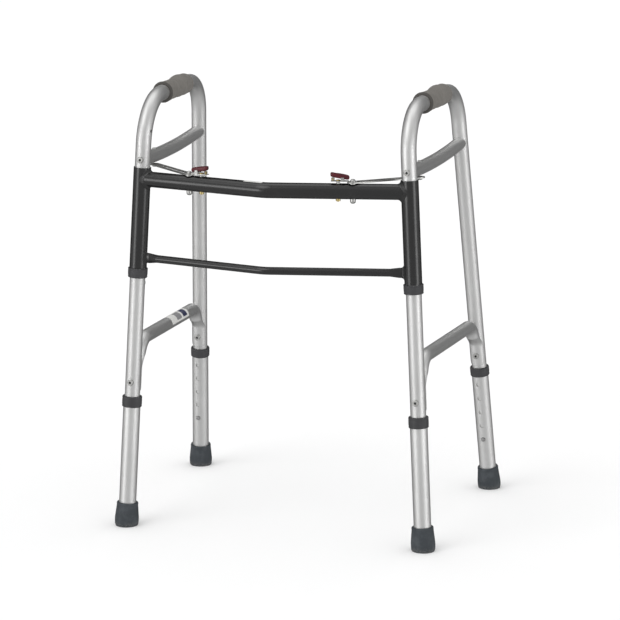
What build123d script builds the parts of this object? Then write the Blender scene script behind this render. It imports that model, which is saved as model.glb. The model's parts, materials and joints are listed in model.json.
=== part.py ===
from build123d import *
import os
from math import cos, radians, sin, tan

# Folding walking frame: a black centre frame carries two aluminium side frames on upright
# pivot sleeves. Each side frame has two telescopic legs with snap buttons, and a slotted link
# with a sprung finger catch that holds it open. Millimetres, +Z up. The user stands on the
# +Y side; right is +X. The right half is modelled and the left half is its mirror image.

os.makedirs("parts", exist_ok=True)

# ---- overall sizes ----
front_foot_spread = 513.5      # between the front feet, centre to centre, on the floor
foot_depth = 407.5             # from the front foot to the rear foot, along the side frame
handle_height = 716.0          # centreline of the hand rail above the floor, along the front leg

# ---- angles in degrees ----
inward_lean = 2.94             # the side frames lean towards each other at the top
front_leg_lean = 1.45          # the front leg leans backwards at the top
toe_out = 1.5                  # the side frames open out towards the user
rear_leg_rake = 9.88           # between the front leg and the rear leg
nose_angle = 12.4              # each half of a crossbar sweeps forward to the nose

# ---- tubes ----
side_tube_d = 25.4
side_tube_wall = 1.3
front_bend_r = 75.0
rear_bend_r = 67.0
brace_d = 22.2
brace_wall = 1.3
extension_wall = 1.3
sleeve_wall = 1.3
upper_bar_d = 25.4
lower_bar_d = 12.7
bar_wall = 1.6
nose_bend_r = 45.0

# ---- clearances ----
sleeve_gap = 0.3               # radial, sleeve on the side tube
extension_gap = 0.3            # radial, leg extension on the side tube
pin_gap = 0.15                 # radial, lever on its pin
slot_gap = 0.35                # each side of the guide bolt in the slot
hole_gap = 0.1                 # radial, bolts and screws in their holes
seat_gap = 0.05                # between stacked parts that only rest on each other
swivel_gap = 0.4               # below the pivot sleeve
brace_gap = 1.8                # upper brace above the pivot sleeve, clear of the link when folded

sleeve_d = side_tube_d + 2 * (sleeve_gap + sleeve_wall)
extension_d = side_tube_d + 2 * (extension_gap + extension_wall)

# ---- telescopic legs, measured up each leg from the floor ----
hole_pitch = 25.4
hole_count = 5
hole_d = 8.0
first_hole_h = {"front": 92.0, "rear": 95.5}
tube_below_button = 27.0
extension_foot_h = 9.0
collar_h = {"front": 18.0, "rear": 15.5}
collar_above_hole = {"front": 10.4, "rear": 14.0}
collar_wall = 2.2
collar_lip_h = 4.0
collar_edge_r = 1.2
button_d = 6.8
button_edge_r = 1.6
button_flange_d = 9.0
button_flange_h = 1.0
button_proud = 2.6
button_inset = 3.2             # foot of the button inside the wall of the side tube
spring_strip = 0.7
spring_strip_w = 8.0
spring_length = 40.0
spring_top = 6.0               # leaf above the button's centre, then below it on each side
spring_tail = 8.0
spring_far_tail = 10.0
spring_far_gap = 2.2           # middle of the far leaf inside the wall

last_hole_h = {which: low + (hole_count - 1) * hole_pitch for which, low in first_hole_h.items()}
collar_bottom_h = {which: last_hole_h[which] + collar_above_hole[which] for which in last_hole_h}
collar_top_h = {which: collar_bottom_h[which] + collar_h[which] for which in collar_h}
collar_d = extension_d + 2 * collar_wall
button_root_r = side_tube_d / 2 - side_tube_wall - button_inset

# ---- heights of the parts along the front leg ----
sleeve_top_drop = 111.0        # top of the sleeve below the hand rail
sleeve_length = 166.5
sleeve_collar_h = 16.0
sleeve_collar_wall = 2.2
bar_top_drop = 7.3             # top of the upper crossbar below the top of the sleeve
lower_bar_rise = 16.5          # lower crossbar above the bottom of the sleeve
upper_brace_rise = 11.5        # how much higher the brace meets the rear leg
upper_brace_dip = 5.2          # how far the brace hangs below its chord
saddle_above_collar = 7.0
saddle_h = 33.0
saddle_screw_rise = 17.2       # screw above the bottom of the saddle
saddle_thickness = 2.8
saddle_half_angle = 57.0
lower_brace_rise = 45.5        # centreline above the saddles
lower_brace_bend_r = 27.0
crush_length = 22.0
crush_overlap = 6.0            # the crushed end starts this far below the top of the saddle
sight_hole_drop = 51.0         # small hole in the front leg, below the hand rail
sight_hole_d = 5.0

sleeve_top = handle_height - sleeve_top_drop
sleeve_bottom = sleeve_top - sleeve_length
sleeve_collar_d = sleeve_d + 2 * sleeve_collar_wall
upper_bar_z = sleeve_top - bar_top_drop - upper_bar_d / 2
lower_bar_z = sleeve_bottom + lower_bar_rise
upper_brace_w = sleeve_top + brace_gap + brace_d / 2
saddle_bottom_w = {which: top + saddle_above_collar for which, top in collar_top_h.items()}
saddle_top_w = saddle_bottom_w["rear"] + saddle_h
lower_brace_screw_w = {which: low + saddle_screw_rise for which, low in saddle_bottom_w.items()}
lower_brace_w = saddle_top_w + lower_brace_rise

# ---- crossbar ends ----
flat_hold = 9.0                # the lower crossbar's end keeps its flattened shape this far
flat_length = 15.0             # and then grows round over this length
flat_half_h = 8.4
flat_half_t = 3.2
sleeve_collar_taper = 1.5
sleeve_collar_edge_r = 1.5

# ---- hand grip ----
grip_start = 86.0              # from the front leg, along the rail
grip_rear_margin = 78.5        # from the end of the grip to the rear corner of the rail
grip_wall = 4.3
grip_lip = 1.0                 # how far the front lip stands out of the grip
grip_lip_h = 5.0
grip_edge_r = 2.0

# ---- rubber tips ----
tip_h = 40.0
tip_rim_wall = 3.2             # rubber round the extension, at the rim, the belly and the sole
tip_belly_wall = 5.7
tip_sole_wall = 4.7
tip_belly_h = 14.0
tip_edge_h = 6.0
tip_edge_in = 0.8              # the sole's edge turns in by this much
tip_edge_out = 0.4
tip_edge_turn_h = 2.4

# ---- fasteners ----
screw_d = 4.8
screw_head_d = 10.4
screw_head_h = 2.8
screw_recess_d = 4.6
screw_recess_depth = 1.6
screw_reach = 10.0             # thread length inside the end of the upper brace
nut_af = 8.0
nut_h = 3.6
rivet_head_d = 7.0
rivet_head_h = 1.8
rivet_d = 4.0
rivet_drop = 10.0              # rivet centre below the sleeve collar
rivet_sink = 0.6

# ---- slotted link and its guide ----
link_pin_back = 60.0           # link bolt behind the pivot axis, under the upper brace
guide_inboard = 88.7           # guide bolt inboard of the pivot axis
link_width = 16.0
link_t = 2.0
link_end = 6.0                 # metal beyond each end of the slot
link_gap = 0.8                 # link above the top of the crossbar
guide_d = 6.0
guide_head_d = 8.2
guide_head_h = 3.4
guide_washer_d = 11.0
guide_washer_h = 0.8
link_bolt_d = 4.0
link_bolt_head_d = 8.0
link_bolt_head_h = 1.6
link_nut_d = 7.6
link_nut_h = 3.0
dome_nut_d = 9.0
dome_nut_h = 7.0
left_fold_limit = 90.0
right_fold_limit = 73.0

# ---- finger catch, measured from the catch bolt, x towards the nose, z above the crossbar ----
catch_inboard = 111.7
catch_bolt_d = 4.0
catch_head_d = 7.6
catch_head_h = 1.5
catch_spacer_d = 6.0
catch_nut_h = 3.0
catch_strip_lift = 0.5         # strip above the link
catch_strip_t = 1.0
catch_strip_half_w = 4.5
catch_strip_ends = (-17.0, 11.5)
catch_lug_t = 1.0
catch_lug_half_l = 2.6
catch_lug_gap = 0.4
lever_pin_x = -7.0
lever_pin_rise = 3.6           # pin above the strip
lever_pin_d = 2.0
lever_half_w = 4.3
lever_ends = (-18.0, 12.0)
lever_nose_z = (5.5, 10.6)     # lower and upper edge at the pin end, then at the finger end
lever_tail_z = (10.6, 16.8)
lever_edge_r = 1.8
lever_core_t = 1.4
spring_x = 8.4
spring_r = 2.3
spring_wire_d = 0.8
spring_turns = 4


# ---- frames of reference ----
lean = tan(radians(inward_lean))
fore = tan(radians(front_leg_lean))
leg_up = Vector(-lean, fore, 1).normalized()
toe = Vector(sin(radians(toe_out)), cos(radians(toe_out)), 0)
back = (toe - leg_up * toe.dot(leg_up)).normalized()
outward = back.cross(leg_up)
front_foot = Vector(front_foot_spread / 2, 0, 0)

rake = tan(radians(rear_leg_rake))
rear_foot_w = foot_depth * fore
rear_up = (leg_up - back * rake).normalized()


def in_side(out, rearward, up):
    """A point of the side frame, given outward, rearward and up the front leg."""
    return front_foot + outward * out + back * rearward + leg_up * up


def rear_leg_at(up):
    """How far behind the front leg the rear leg's axis is at that height."""
    return foot_depth - rake * up


rear_foot = in_side(0, rear_leg_at(rear_foot_w), rear_foot_w)
rear_foot = rear_foot - rear_up * (rear_foot.Z / rear_up.Z)
leg_planes = {
    "front": Plane(origin=front_foot, x_dir=outward, z_dir=leg_up),
    "rear": Plane(origin=rear_foot, x_dir=outward * -1, z_dir=rear_up),
}


def tube_along(path, diameter, wall):
    """A round tube swept along a path."""
    start = Plane(origin=path @ 0, z_dir=path % 0)
    ring = start * (Circle(diameter / 2) - Circle(diameter / 2 - wall))
    return sweep(ring, path=path)


def rod(start, end, radius):
    """A round bar between two points."""
    run = end - start
    return extrude(Plane(origin=start, z_dir=run) * Circle(radius), run.length)


def on_height(point, z):
    """The point moved along the front leg's direction to a height above the floor."""
    return point + leg_up * ((z - point.Z) / leg_up.Z)


# ---- side tube: one tube bent into the two legs and the hand rail ----
rail_end = (foot_depth - rake * handle_height) / (1 + rake * fore)
rail_end_w = handle_height + fore * rail_end         # the rail is level above the floor
tube_foot_h = {which: low - tube_below_button for which, low in first_hole_h.items()}
rear_tube_end = rear_foot + rear_up * tube_foot_h["rear"]
side_path = FilletPolyline(
    in_side(0, 0, tube_foot_h["front"]), in_side(0, 0, handle_height),
    in_side(0, rail_end, rail_end_w), rear_tube_end,
    radius=[front_bend_r, rear_bend_r],
)
side_tube = tube_along(side_path, side_tube_d, side_tube_wall)
side_r = side_tube_d / 2
side_rod = sweep(Plane(origin=side_path @ 0, z_dir=side_path % 0) * Circle(side_r), path=side_path)
for which, leg in leg_planes.items():
    reach = Plane(origin=leg.origin + leg.z_dir * first_hole_h[which], z_dir=leg.y_dir)
    side_tube -= extrude(reach * Circle(button_d / 2 + hole_gap), side_tube_d)
sight = Plane(origin=in_side(0, 0, handle_height - sight_hole_drop), z_dir=outward * -1)
side_tube -= extrude(sight * Circle(sight_hole_d / 2), side_tube_d)


# ---- braces ----
upper_rear_w = upper_brace_w + upper_brace_rise
brace_start = in_side(0, 0, upper_brace_w)
brace_end = in_side(0, rear_leg_at(upper_rear_w), upper_rear_w)
brace_mid = (brace_start + brace_end) * 0.5 - leg_up * upper_brace_dip
brace_arc = ThreePointArc(brace_start, brace_mid, brace_end)
upper_brace = tube_along(brace_arc, brace_d, brace_wall)
plug_from = (side_r - 1) / brace_arc.length
plug_to = (side_r + screw_reach + 2) / brace_arc.length
for from_end in (False, True):
    ends = [1 - plug_from, 1 - plug_to] if from_end else [plug_from, plug_to]
    upper_brace += rod(brace_arc @ ends[0], brace_arc @ ends[1], brace_d / 2 - brace_wall / 2)
upper_brace -= side_rod


def saddle(foot, up, facing, bottom):
    """A crushed tube end that wraps a leg from its bottom to the top of the saddles."""
    base = Plane(origin=foot + up * bottom, x_dir=facing, z_dir=up)
    outer = side_r + saddle_thickness
    shell = base * (Circle(outer) - Circle(side_r))
    reach = 2 * outer
    wedge = base * Polygon(
        (0, 0),
        (reach, reach * tan(radians(saddle_half_angle))),
        (reach, -reach * tan(radians(saddle_half_angle))),
        align=None,
    )
    return extrude(shell & wedge, saddle_top_w - bottom)


def crushed_neck(foot, up, facing, from_h):
    """The flare between the round tube and the crushed saddle."""
    tube_at = side_r + brace_d / 2
    crushed_at = side_r + saddle_thickness / 2
    round_end = Plane(
        origin=foot + up * (from_h + crush_length) + facing * tube_at, x_dir=facing, z_dir=up
    )
    flat_end = Plane(origin=foot + up * from_h + facing * crushed_at, x_dir=facing, z_dir=up)
    flat_half_w = (side_r + saddle_thickness) * sin(radians(saddle_half_angle)) - 1
    return loft([
        flat_end * Ellipse(saddle_thickness / 2, flat_half_w),
        round_end * Circle(brace_d / 2),
    ])


rear_facing = rear_up.cross(outward)
if rear_facing.dot(back) > 0:
    rear_facing = rear_facing * -1
neck_from = saddle_top_w - crush_overlap
tube_from = neck_from + crush_length
brace_offset = side_r + brace_d / 2
front_drop = in_side(0, brace_offset, tube_from)
front_corner = in_side(0, brace_offset, lower_brace_w)
rear_drop = rear_foot + rear_up * tube_from + rear_facing * brace_offset
rear_corner_along = (lower_brace_w - (rear_drop - front_foot).dot(leg_up)) / rear_up.dot(leg_up)
rear_corner = rear_drop + rear_up * rear_corner_along
brace_path = FilletPolyline(
    front_drop, front_corner, rear_corner, rear_drop,
    radius=lower_brace_bend_r,
)
lower_brace = tube_along(brace_path, brace_d, brace_wall)
lower_brace += crushed_neck(front_foot, leg_up, back, neck_from)
lower_brace += crushed_neck(rear_foot, rear_up, rear_facing, neck_from)
lower_brace += saddle(front_foot, leg_up, back, saddle_bottom_w["front"])
lower_brace += saddle(rear_foot, rear_up, rear_facing, saddle_bottom_w["rear"])
lower_brace -= side_rod


# ---- brace screws: pan heads with a round recess ----
def pan_screw(head_face, direction, length):
    """A pan-head screw whose head stands on head_face and whose shank runs along direction."""
    seat = Plane(origin=head_face, z_dir=direction * -1)
    head = extrude(seat * Circle(screw_head_d / 2), screw_head_h)
    head = fillet(head.edges().group_by(seat_axis(seat))[-1], screw_head_h * 0.45)
    top = Plane(origin=head_face - direction * screw_head_h, z_dir=direction)
    head -= extrude(top * Circle(screw_recess_d / 2), screw_recess_depth)
    head -= side_rod
    root = head_face - direction * ((screw_head_h - screw_recess_depth) / 2)
    return head + rod(root, head_face + direction * length, screw_d / 2)


def seat_axis(seat):
    """The axis along which the head of a fastener rises from its seat."""
    return Axis(seat.origin, seat.z_dir)


upper_front_dir = (brace_arc % 0)
lower_screw_point = in_side(0, 0, lower_brace_screw_w["front"])
rear_screw_point = rear_foot + rear_up * lower_brace_screw_w["rear"]
saddle_face = side_r + saddle_thickness
screw_places = [
    (brace_start - upper_front_dir * (side_r + seat_gap), upper_front_dir,
     side_tube_d + screw_reach),
    (brace_end - rear_facing * (side_r + seat_gap), rear_facing,
     side_tube_d + screw_reach),
    (lower_screw_point - back * (side_r + seat_gap), back,
     side_r + saddle_face + nut_h + 1),
    (rear_screw_point + rear_facing * (saddle_face + seat_gap), rear_facing * -1,
     side_r + saddle_face + nut_h + 1),
]
brace_screws = [pan_screw(*place) for place in screw_places]
nut_places = [
    (lower_screw_point + back * (saddle_face + seat_gap), back),
    (rear_screw_point - rear_facing * (side_r + seat_gap), rear_facing * -1),
]
brace_nuts = []
for place, direction in nut_places:
    blank = Plane(origin=place, z_dir=direction)
    nut = extrude(blank * RegularPolygon(nut_af / 2, 6, major_radius=False), nut_h)
    brace_nuts.append(nut - extrude(blank * Circle(screw_d / 2), nut_h))
for place, direction, length in screw_places:
    bore = rod(place, place + direction * length, screw_d / 2 + hole_gap)
    side_tube -= bore
    upper_brace -= bore
    lower_brace -= bore


# ---- hand grip on the rail ----
rail = in_side(0, rail_end, rail_end_w) - in_side(0, 0, handle_height)
rail_dir = rail.normalized()
grip_d = side_tube_d + 2 * grip_wall
grip_length = rail.length - grip_rear_margin - grip_start
grip_foot = in_side(0, 0, handle_height) + rail_dir * grip_start
grip_plane = Plane(origin=grip_foot, x_dir=outward, z_dir=rail_dir)
hand_grip = extrude(grip_plane * Circle(grip_d / 2), grip_length)
hand_grip += extrude(grip_plane * Circle(grip_d / 2 + grip_lip), grip_lip_h)
rims = hand_grip.edges().filter_by(GeomType.CIRCLE).group_by(seat_axis(grip_plane))
hand_grip = fillet(rims[0] + rims[-1], grip_edge_r)
hand_grip -= side_rod


# ---- centre frame: pivot sleeves and crossbars ----
sleeve_r = sleeve_d / 2
sleeve_bore_r = side_r + sleeve_gap
sleeve_plane = Plane(origin=in_side(0, 0, sleeve_bottom), x_dir=outward, z_dir=leg_up)
pivot_sleeve = extrude(
    sleeve_plane * (Circle(sleeve_r) - Circle(sleeve_bore_r)), sleeve_top - sleeve_bottom
)
sleeve_collar_top = sleeve_bottom - swivel_gap
sleeve_collar_plane = Plane(
    origin=in_side(0, 0, sleeve_collar_top - sleeve_collar_h), x_dir=outward, z_dir=leg_up
)
sleeve_collar = extrude(
    sleeve_collar_plane * Circle(sleeve_collar_d / 2), sleeve_collar_h, taper=sleeve_collar_taper
)
low_rim = sleeve_collar.edges().filter_by(GeomType.CIRCLE).group_by(seat_axis(sleeve_collar_plane))[0]
sleeve_collar = fillet(low_rim, sleeve_collar_edge_r)
sleeve_collar -= extrude(sleeve_collar_plane * Circle(side_r), sleeve_collar_h)

rivet_point = in_side(0, 0, sleeve_collar_top - sleeve_collar_h - rivet_drop)
rivet_dir = (back - outward).normalized()
rivet_seat = Plane(origin=rivet_point + rivet_dir * (side_r - rivet_sink), z_dir=rivet_dir)
collar_rivet = extrude(rivet_seat * Circle(rivet_head_d / 2), rivet_head_h)
collar_rivet = fillet(collar_rivet.edges().group_by(seat_axis(rivet_seat))[-1], rivet_head_h * 0.6)
collar_rivet += rod(rivet_point + rivet_dir * 6, rivet_point + rivet_dir * side_r, rivet_d / 2)
side_tube -= rod(rivet_point, rivet_point + rivet_dir * side_tube_d, rivet_d / 2)
collar_rivet -= rod(
    in_side(0, 0, 0), in_side(0, 0, sleeve_bottom), side_r
) - rod(rivet_point, rivet_point + rivet_dir * side_tube_d, rivet_d / 2)

upper_end = on_height(front_foot, upper_bar_z)
lower_end = on_height(front_foot, lower_bar_z)


def mirrored(point):
    """The same point on the left half."""
    return Vector(-point.X, point.Y, point.Z)


def nose_of(end):
    """Where the two halves of a crossbar meet, in front of its ends."""
    return Vector(0, end.Y - end.X * tan(radians(nose_angle)), end.Z)


sleeves_solid = rod(in_side(0, 0, sleeve_bottom), in_side(0, 0, sleeve_top), sleeve_r)
sleeves_solid += mirror(sleeves_solid, about=Plane.YZ)
upper_path = FilletPolyline(upper_end, nose_of(upper_end), mirrored(upper_end), radius=nose_bend_r)
upper_crossbar = tube_along(upper_path, upper_bar_d, bar_wall) - sleeves_solid

bar_dir = (nose_of(lower_end) - lower_end).normalized()
flat_from = lower_end + bar_dir * (sleeve_r - bar_wall)
flat_to = flat_from + bar_dir * flat_hold
round_at = flat_to + bar_dir * flat_length
lower_path = FilletPolyline(round_at, nose_of(lower_end), mirrored(round_at), radius=nose_bend_r)
flat_end = Plane(origin=flat_to, x_dir=(0, 0, 1), z_dir=bar_dir) * Ellipse(flat_half_h, flat_half_t)
round_end = Plane(origin=round_at, x_dir=(0, 0, 1), z_dir=bar_dir) * Circle(lower_bar_d / 2)
flattened = loft([flat_end, round_end]) + extrude(flat_end, -flat_hold)
lower_crossbar = tube_along(lower_path, lower_bar_d, bar_wall) + flattened
lower_crossbar += mirror(flattened, about=Plane.YZ)
lower_crossbar -= sleeves_solid


# ---- slotted link, its bolt under the brace, and its guide on the crossbar ----
upper_bar_dir = (nose_of(upper_end) - upper_end).normalized()


def on_bar(inboard):
    """A point on the top line of the upper crossbar, that far inboard of the pivot axis."""
    axis_point = upper_end + upper_bar_dir * (inboard / cos(radians(nose_angle)))
    return axis_point + Vector(0, 0, upper_bar_d / 2)


guide_top = on_bar(guide_inboard)
link_z = guide_top.Z + link_gap
brace_share = link_pin_back / rear_leg_at(upper_brace_w)
pin_on_brace = brace_arc @ brace_share
link_pin = Vector(pin_on_brace.X, pin_on_brace.Y, link_z)
guide_at_link = Vector(guide_top.X, guide_top.Y, link_z)
link_run = guide_at_link - link_pin
link_reach = link_run.length
link_dir = link_run.normalized()


def pin_after(fold):
    """Where the link bolt is after the side frame has folded inward by that many degrees."""
    hinge = Axis(front_foot, leg_up)
    return Vertex(*link_pin).rotate(hinge, fold).center()


def link_travel(fold):
    """How far the link slides over its guide during that fold."""
    return (pin_after(fold) - link_pin).dot(link_dir)


link_plane = Plane(origin=link_pin, x_dir=link_dir, z_dir=(0, 0, 1))
slot_half_w = guide_d / 2 + slot_gap
slot_from = link_reach - link_travel(left_fold_limit) - slot_half_w - 1
slot_to = link_reach + slot_half_w
slot_middle = (slot_from + slot_to) / 2
link_far = slot_to + link_end
link_blank = Pos(link_far / 2 - link_width / 4, 0) * SlotOverall(link_far + link_width / 2, link_width)
link_slot = Pos(slot_middle, 0) * SlotOverall(slot_to - slot_from, 2 * slot_half_w)
link_hole = Circle(link_bolt_d / 2 + hole_gap)
link = extrude(link_plane * (link_blank - link_slot - link_hole), link_t)

link_nut = extrude(
    Plane(origin=link_pin - Vector(0, 0, seat_gap), z_dir=(0, 0, -1))
    * (RegularPolygon(link_nut_d / 2, 6) - Circle(link_bolt_d / 2)),
    link_nut_h,
)
bolt_head_at = pin_on_brace + Vector(0, 0, brace_d / 2 - 0.4)
bolt_tip = pin_on_brace - Vector(0, 0, brace_d / 2)
bolt_seat = Plane(origin=bolt_head_at, z_dir=(0, 0, 1))
link_bolt = extrude(bolt_seat * Circle(link_bolt_head_d / 2), link_bolt_head_h)
link_bolt = fillet(link_bolt.edges().group_by(Axis.Z)[-1], link_bolt_head_h * 0.5)
link_bolt += rod(bolt_head_at, bolt_tip, link_bolt_d / 2)
upper_brace -= rod(bolt_head_at, bolt_tip - Vector(0, 0, 1), link_bolt_d / 2 + hole_gap)
upper_brace -= extrude(bolt_seat * Circle(link_bolt_head_d / 2 + hole_gap), link_bolt_head_h)


def coped(solid, length=60):
    """A part that sits on the crossbar, cut to the tube's curve."""
    return solid - rod(upper_end, upper_end + upper_bar_dir * 2 * length, upper_bar_d / 2)


bar_drop = upper_bar_d
under_bar = Vector(0, 0, -bar_drop)
washer_seat = Plane(origin=guide_at_link + Vector(0, 0, link_t + seat_gap))
guide_washer = extrude(
    washer_seat * (Circle(guide_washer_d / 2) - Circle(guide_d / 2)), guide_washer_h
)
spacer_seat = Plane(origin=guide_top - Vector(0, 0, 2))
guide_spacer = extrude(
    spacer_seat * (Circle(guide_washer_d / 2) - Circle(guide_d / 2)), 2 + link_gap - seat_gap
)
guide_spacer = coped(guide_spacer)
guide_head_seat = Plane(origin=washer_seat.origin + Vector(0, 0, guide_washer_h))
guide_bolt = extrude(guide_head_seat * Circle(guide_head_d / 2), guide_head_h)
guide_bolt = fillet(guide_bolt.edges().group_by(Axis.Z)[-1], guide_head_h * 0.8)
guide_bolt += rod(
    guide_head_seat.origin, guide_top + under_bar - Vector(0, 0, dome_nut_h - 2), guide_d / 2
)
nut_seat = Plane(origin=guide_top + under_bar + Vector(0, 0, 1), z_dir=(0, 0, -1))
guide_nut = extrude(nut_seat * Circle(dome_nut_d / 2), dome_nut_h + 1)
guide_nut = fillet(guide_nut.edges().group_by(Axis.Z)[0], dome_nut_d * 0.38)
guide_nut = coped(guide_nut) - rod(
    guide_top, guide_top + under_bar - Vector(0, 0, dome_nut_h - 2), guide_d / 2
)
guide_hole = rod(guide_top + Vector(0, 0, 1), guide_top + under_bar * 1.1, guide_d / 2 + hole_gap)


# ---- finger catch ----
catch_top = on_bar(catch_inboard)
catch_plane = Plane(origin=catch_top, x_dir=upper_bar_dir, z_dir=(0, 0, 1))
strip_z = link_gap + link_t + catch_strip_lift
strip_top = strip_z + catch_strip_t
strip_x0, strip_x1 = catch_strip_ends
lever_pin_z = strip_top + lever_pin_rise
lug_y = lever_half_w + catch_lug_gap
lug_w = lug_y + catch_lug_t


def catch_box(x, y, z):
    """A block of the catch, given its lowest and highest x, y and z."""
    block = Box(x[1] - x[0], y[1] - y[0], z[1] - z[0], align=Align.MIN)
    return catch_plane.location * Pos(x[0], y[0], z[0]) * block


def catch_point(x, y, z):
    """A point of the catch in the shared frame."""
    return catch_plane.from_local_coords(Vector(x, y, z))


half_w = catch_strip_half_w
lug_x = (lever_pin_x - catch_lug_half_l, lever_pin_x + catch_lug_half_l)
catch_strip = catch_box((strip_x0, strip_x1), (-half_w, half_w), (strip_z, strip_top))
catch_strip += catch_box(lug_x, (-lug_w, lug_w), (strip_z, strip_top))
lug_top = lever_pin_z + lever_pin_d
for side in (-1, 1):
    span = (lug_y, lug_w) if side > 0 else (-lug_w, -lug_y)
    catch_strip += catch_box(lug_x, span, (strip_z, lug_top))
pin_line = (catch_point(lever_pin_x, -lug_w - 0.4, lever_pin_z),
            catch_point(lever_pin_x, lug_w + 0.4, lever_pin_z))
lever_pin = rod(*pin_line, lever_pin_d / 2)
catch_strip -= lever_pin
catch_hole = rod(catch_point(0, 0, 10), catch_point(0, 0, -1.1 * bar_drop), catch_bolt_d / 2 + hole_gap)
catch_strip -= catch_hole
for hole in (guide_hole, catch_hole):
    upper_crossbar -= hole
    upper_crossbar -= mirror(hole, about=Plane.YZ)

spacer_ends = (catch_point(0, 0, -2), catch_point(0, 0, strip_z))
catch_spacer = coped(rod(*spacer_ends, catch_spacer_d / 2)) - rod(*spacer_ends, catch_bolt_d / 2)
catch_bolt = rod(catch_point(0, 0, strip_top), catch_point(0, 0, strip_top + catch_head_h), catch_head_d / 2)
catch_bolt = fillet(catch_bolt.edges().group_by(Axis.Z)[-1], catch_head_h * 0.5)
catch_bolt += rod(
    catch_point(0, 0, strip_top), catch_point(0, 0, -bar_drop - catch_nut_h - 1), catch_bolt_d / 2
)
catch_nut = rod(
    catch_point(0, 0, 1 - bar_drop), catch_point(0, 0, -bar_drop - catch_nut_h), catch_head_d / 2
)
catch_nut = coped(catch_nut) - catch_bolt

spring_bottom = strip_top + seat_gap + spring_wire_d / 2


def lever_edge(x, which):
    """Height of the lever's lower edge (0) or upper edge (1) above the crossbar."""
    share = (x - lever_ends[0]) / (lever_ends[1] - lever_ends[0])
    return lever_nose_z[which] + (lever_tail_z[which] - lever_nose_z[which]) * share


spring_span = lever_edge(spring_x - spring_r, 0) - spring_bottom - spring_wire_d / 2 - 0.3
coil = Helix(spring_span / spring_turns, spring_span, spring_r)
coil_ring = Plane(origin=coil @ 0, z_dir=coil % 0) * Circle(spring_wire_d / 2)
catch_spring = catch_plane.location * Pos(spring_x, 0, spring_bottom) * sweep(
    coil_ring, path=coil, is_frenet=True
)

lever_outline = Polygon(
    (lever_ends[0], lever_nose_z[0]), (lever_ends[1], lever_tail_z[0]),
    (lever_ends[1], lever_tail_z[1]), (lever_ends[0], lever_nose_z[1]),
    align=None,
)
lever_profile = Plane(
    origin=catch_plane.origin, x_dir=catch_plane.x_dir, z_dir=catch_plane.y_dir * -1
)
lever_grip = extrude(lever_profile * lever_outline, lever_half_w, both=True)
lever_grip = fillet(lever_grip.edges(), lever_edge_r)
core_ends = (lever_ends[0] + 2, lever_ends[1] - 3)
core_mid = [(lever_edge(x, 0) + lever_edge(x, 1)) / 2 for x in core_ends]
lever_core = Polygon(
    (core_ends[0], core_mid[0] - lever_core_t / 2), (core_ends[1], core_mid[1] - lever_core_t / 2),
    (core_ends[1], core_mid[1] + lever_core_t / 2), (core_ends[0], core_mid[0] + lever_core_t / 2),
    align=None,
)
lever_arm = extrude(lever_profile * lever_core, lever_half_w - 1.4, both=True)
boss_half = lever_half_w - 0.6
lever_arm += rod(
    catch_point(lever_pin_x, -boss_half, lever_pin_z), catch_point(lever_pin_x, boss_half, lever_pin_z),
    lever_pin_d / 2 + 1.0,
)
lever_bore = rod(*pin_line, lever_pin_d / 2 + pin_gap)
lever_grip -= lever_arm
lever_grip -= lever_bore
lever_arm -= lever_bore


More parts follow.
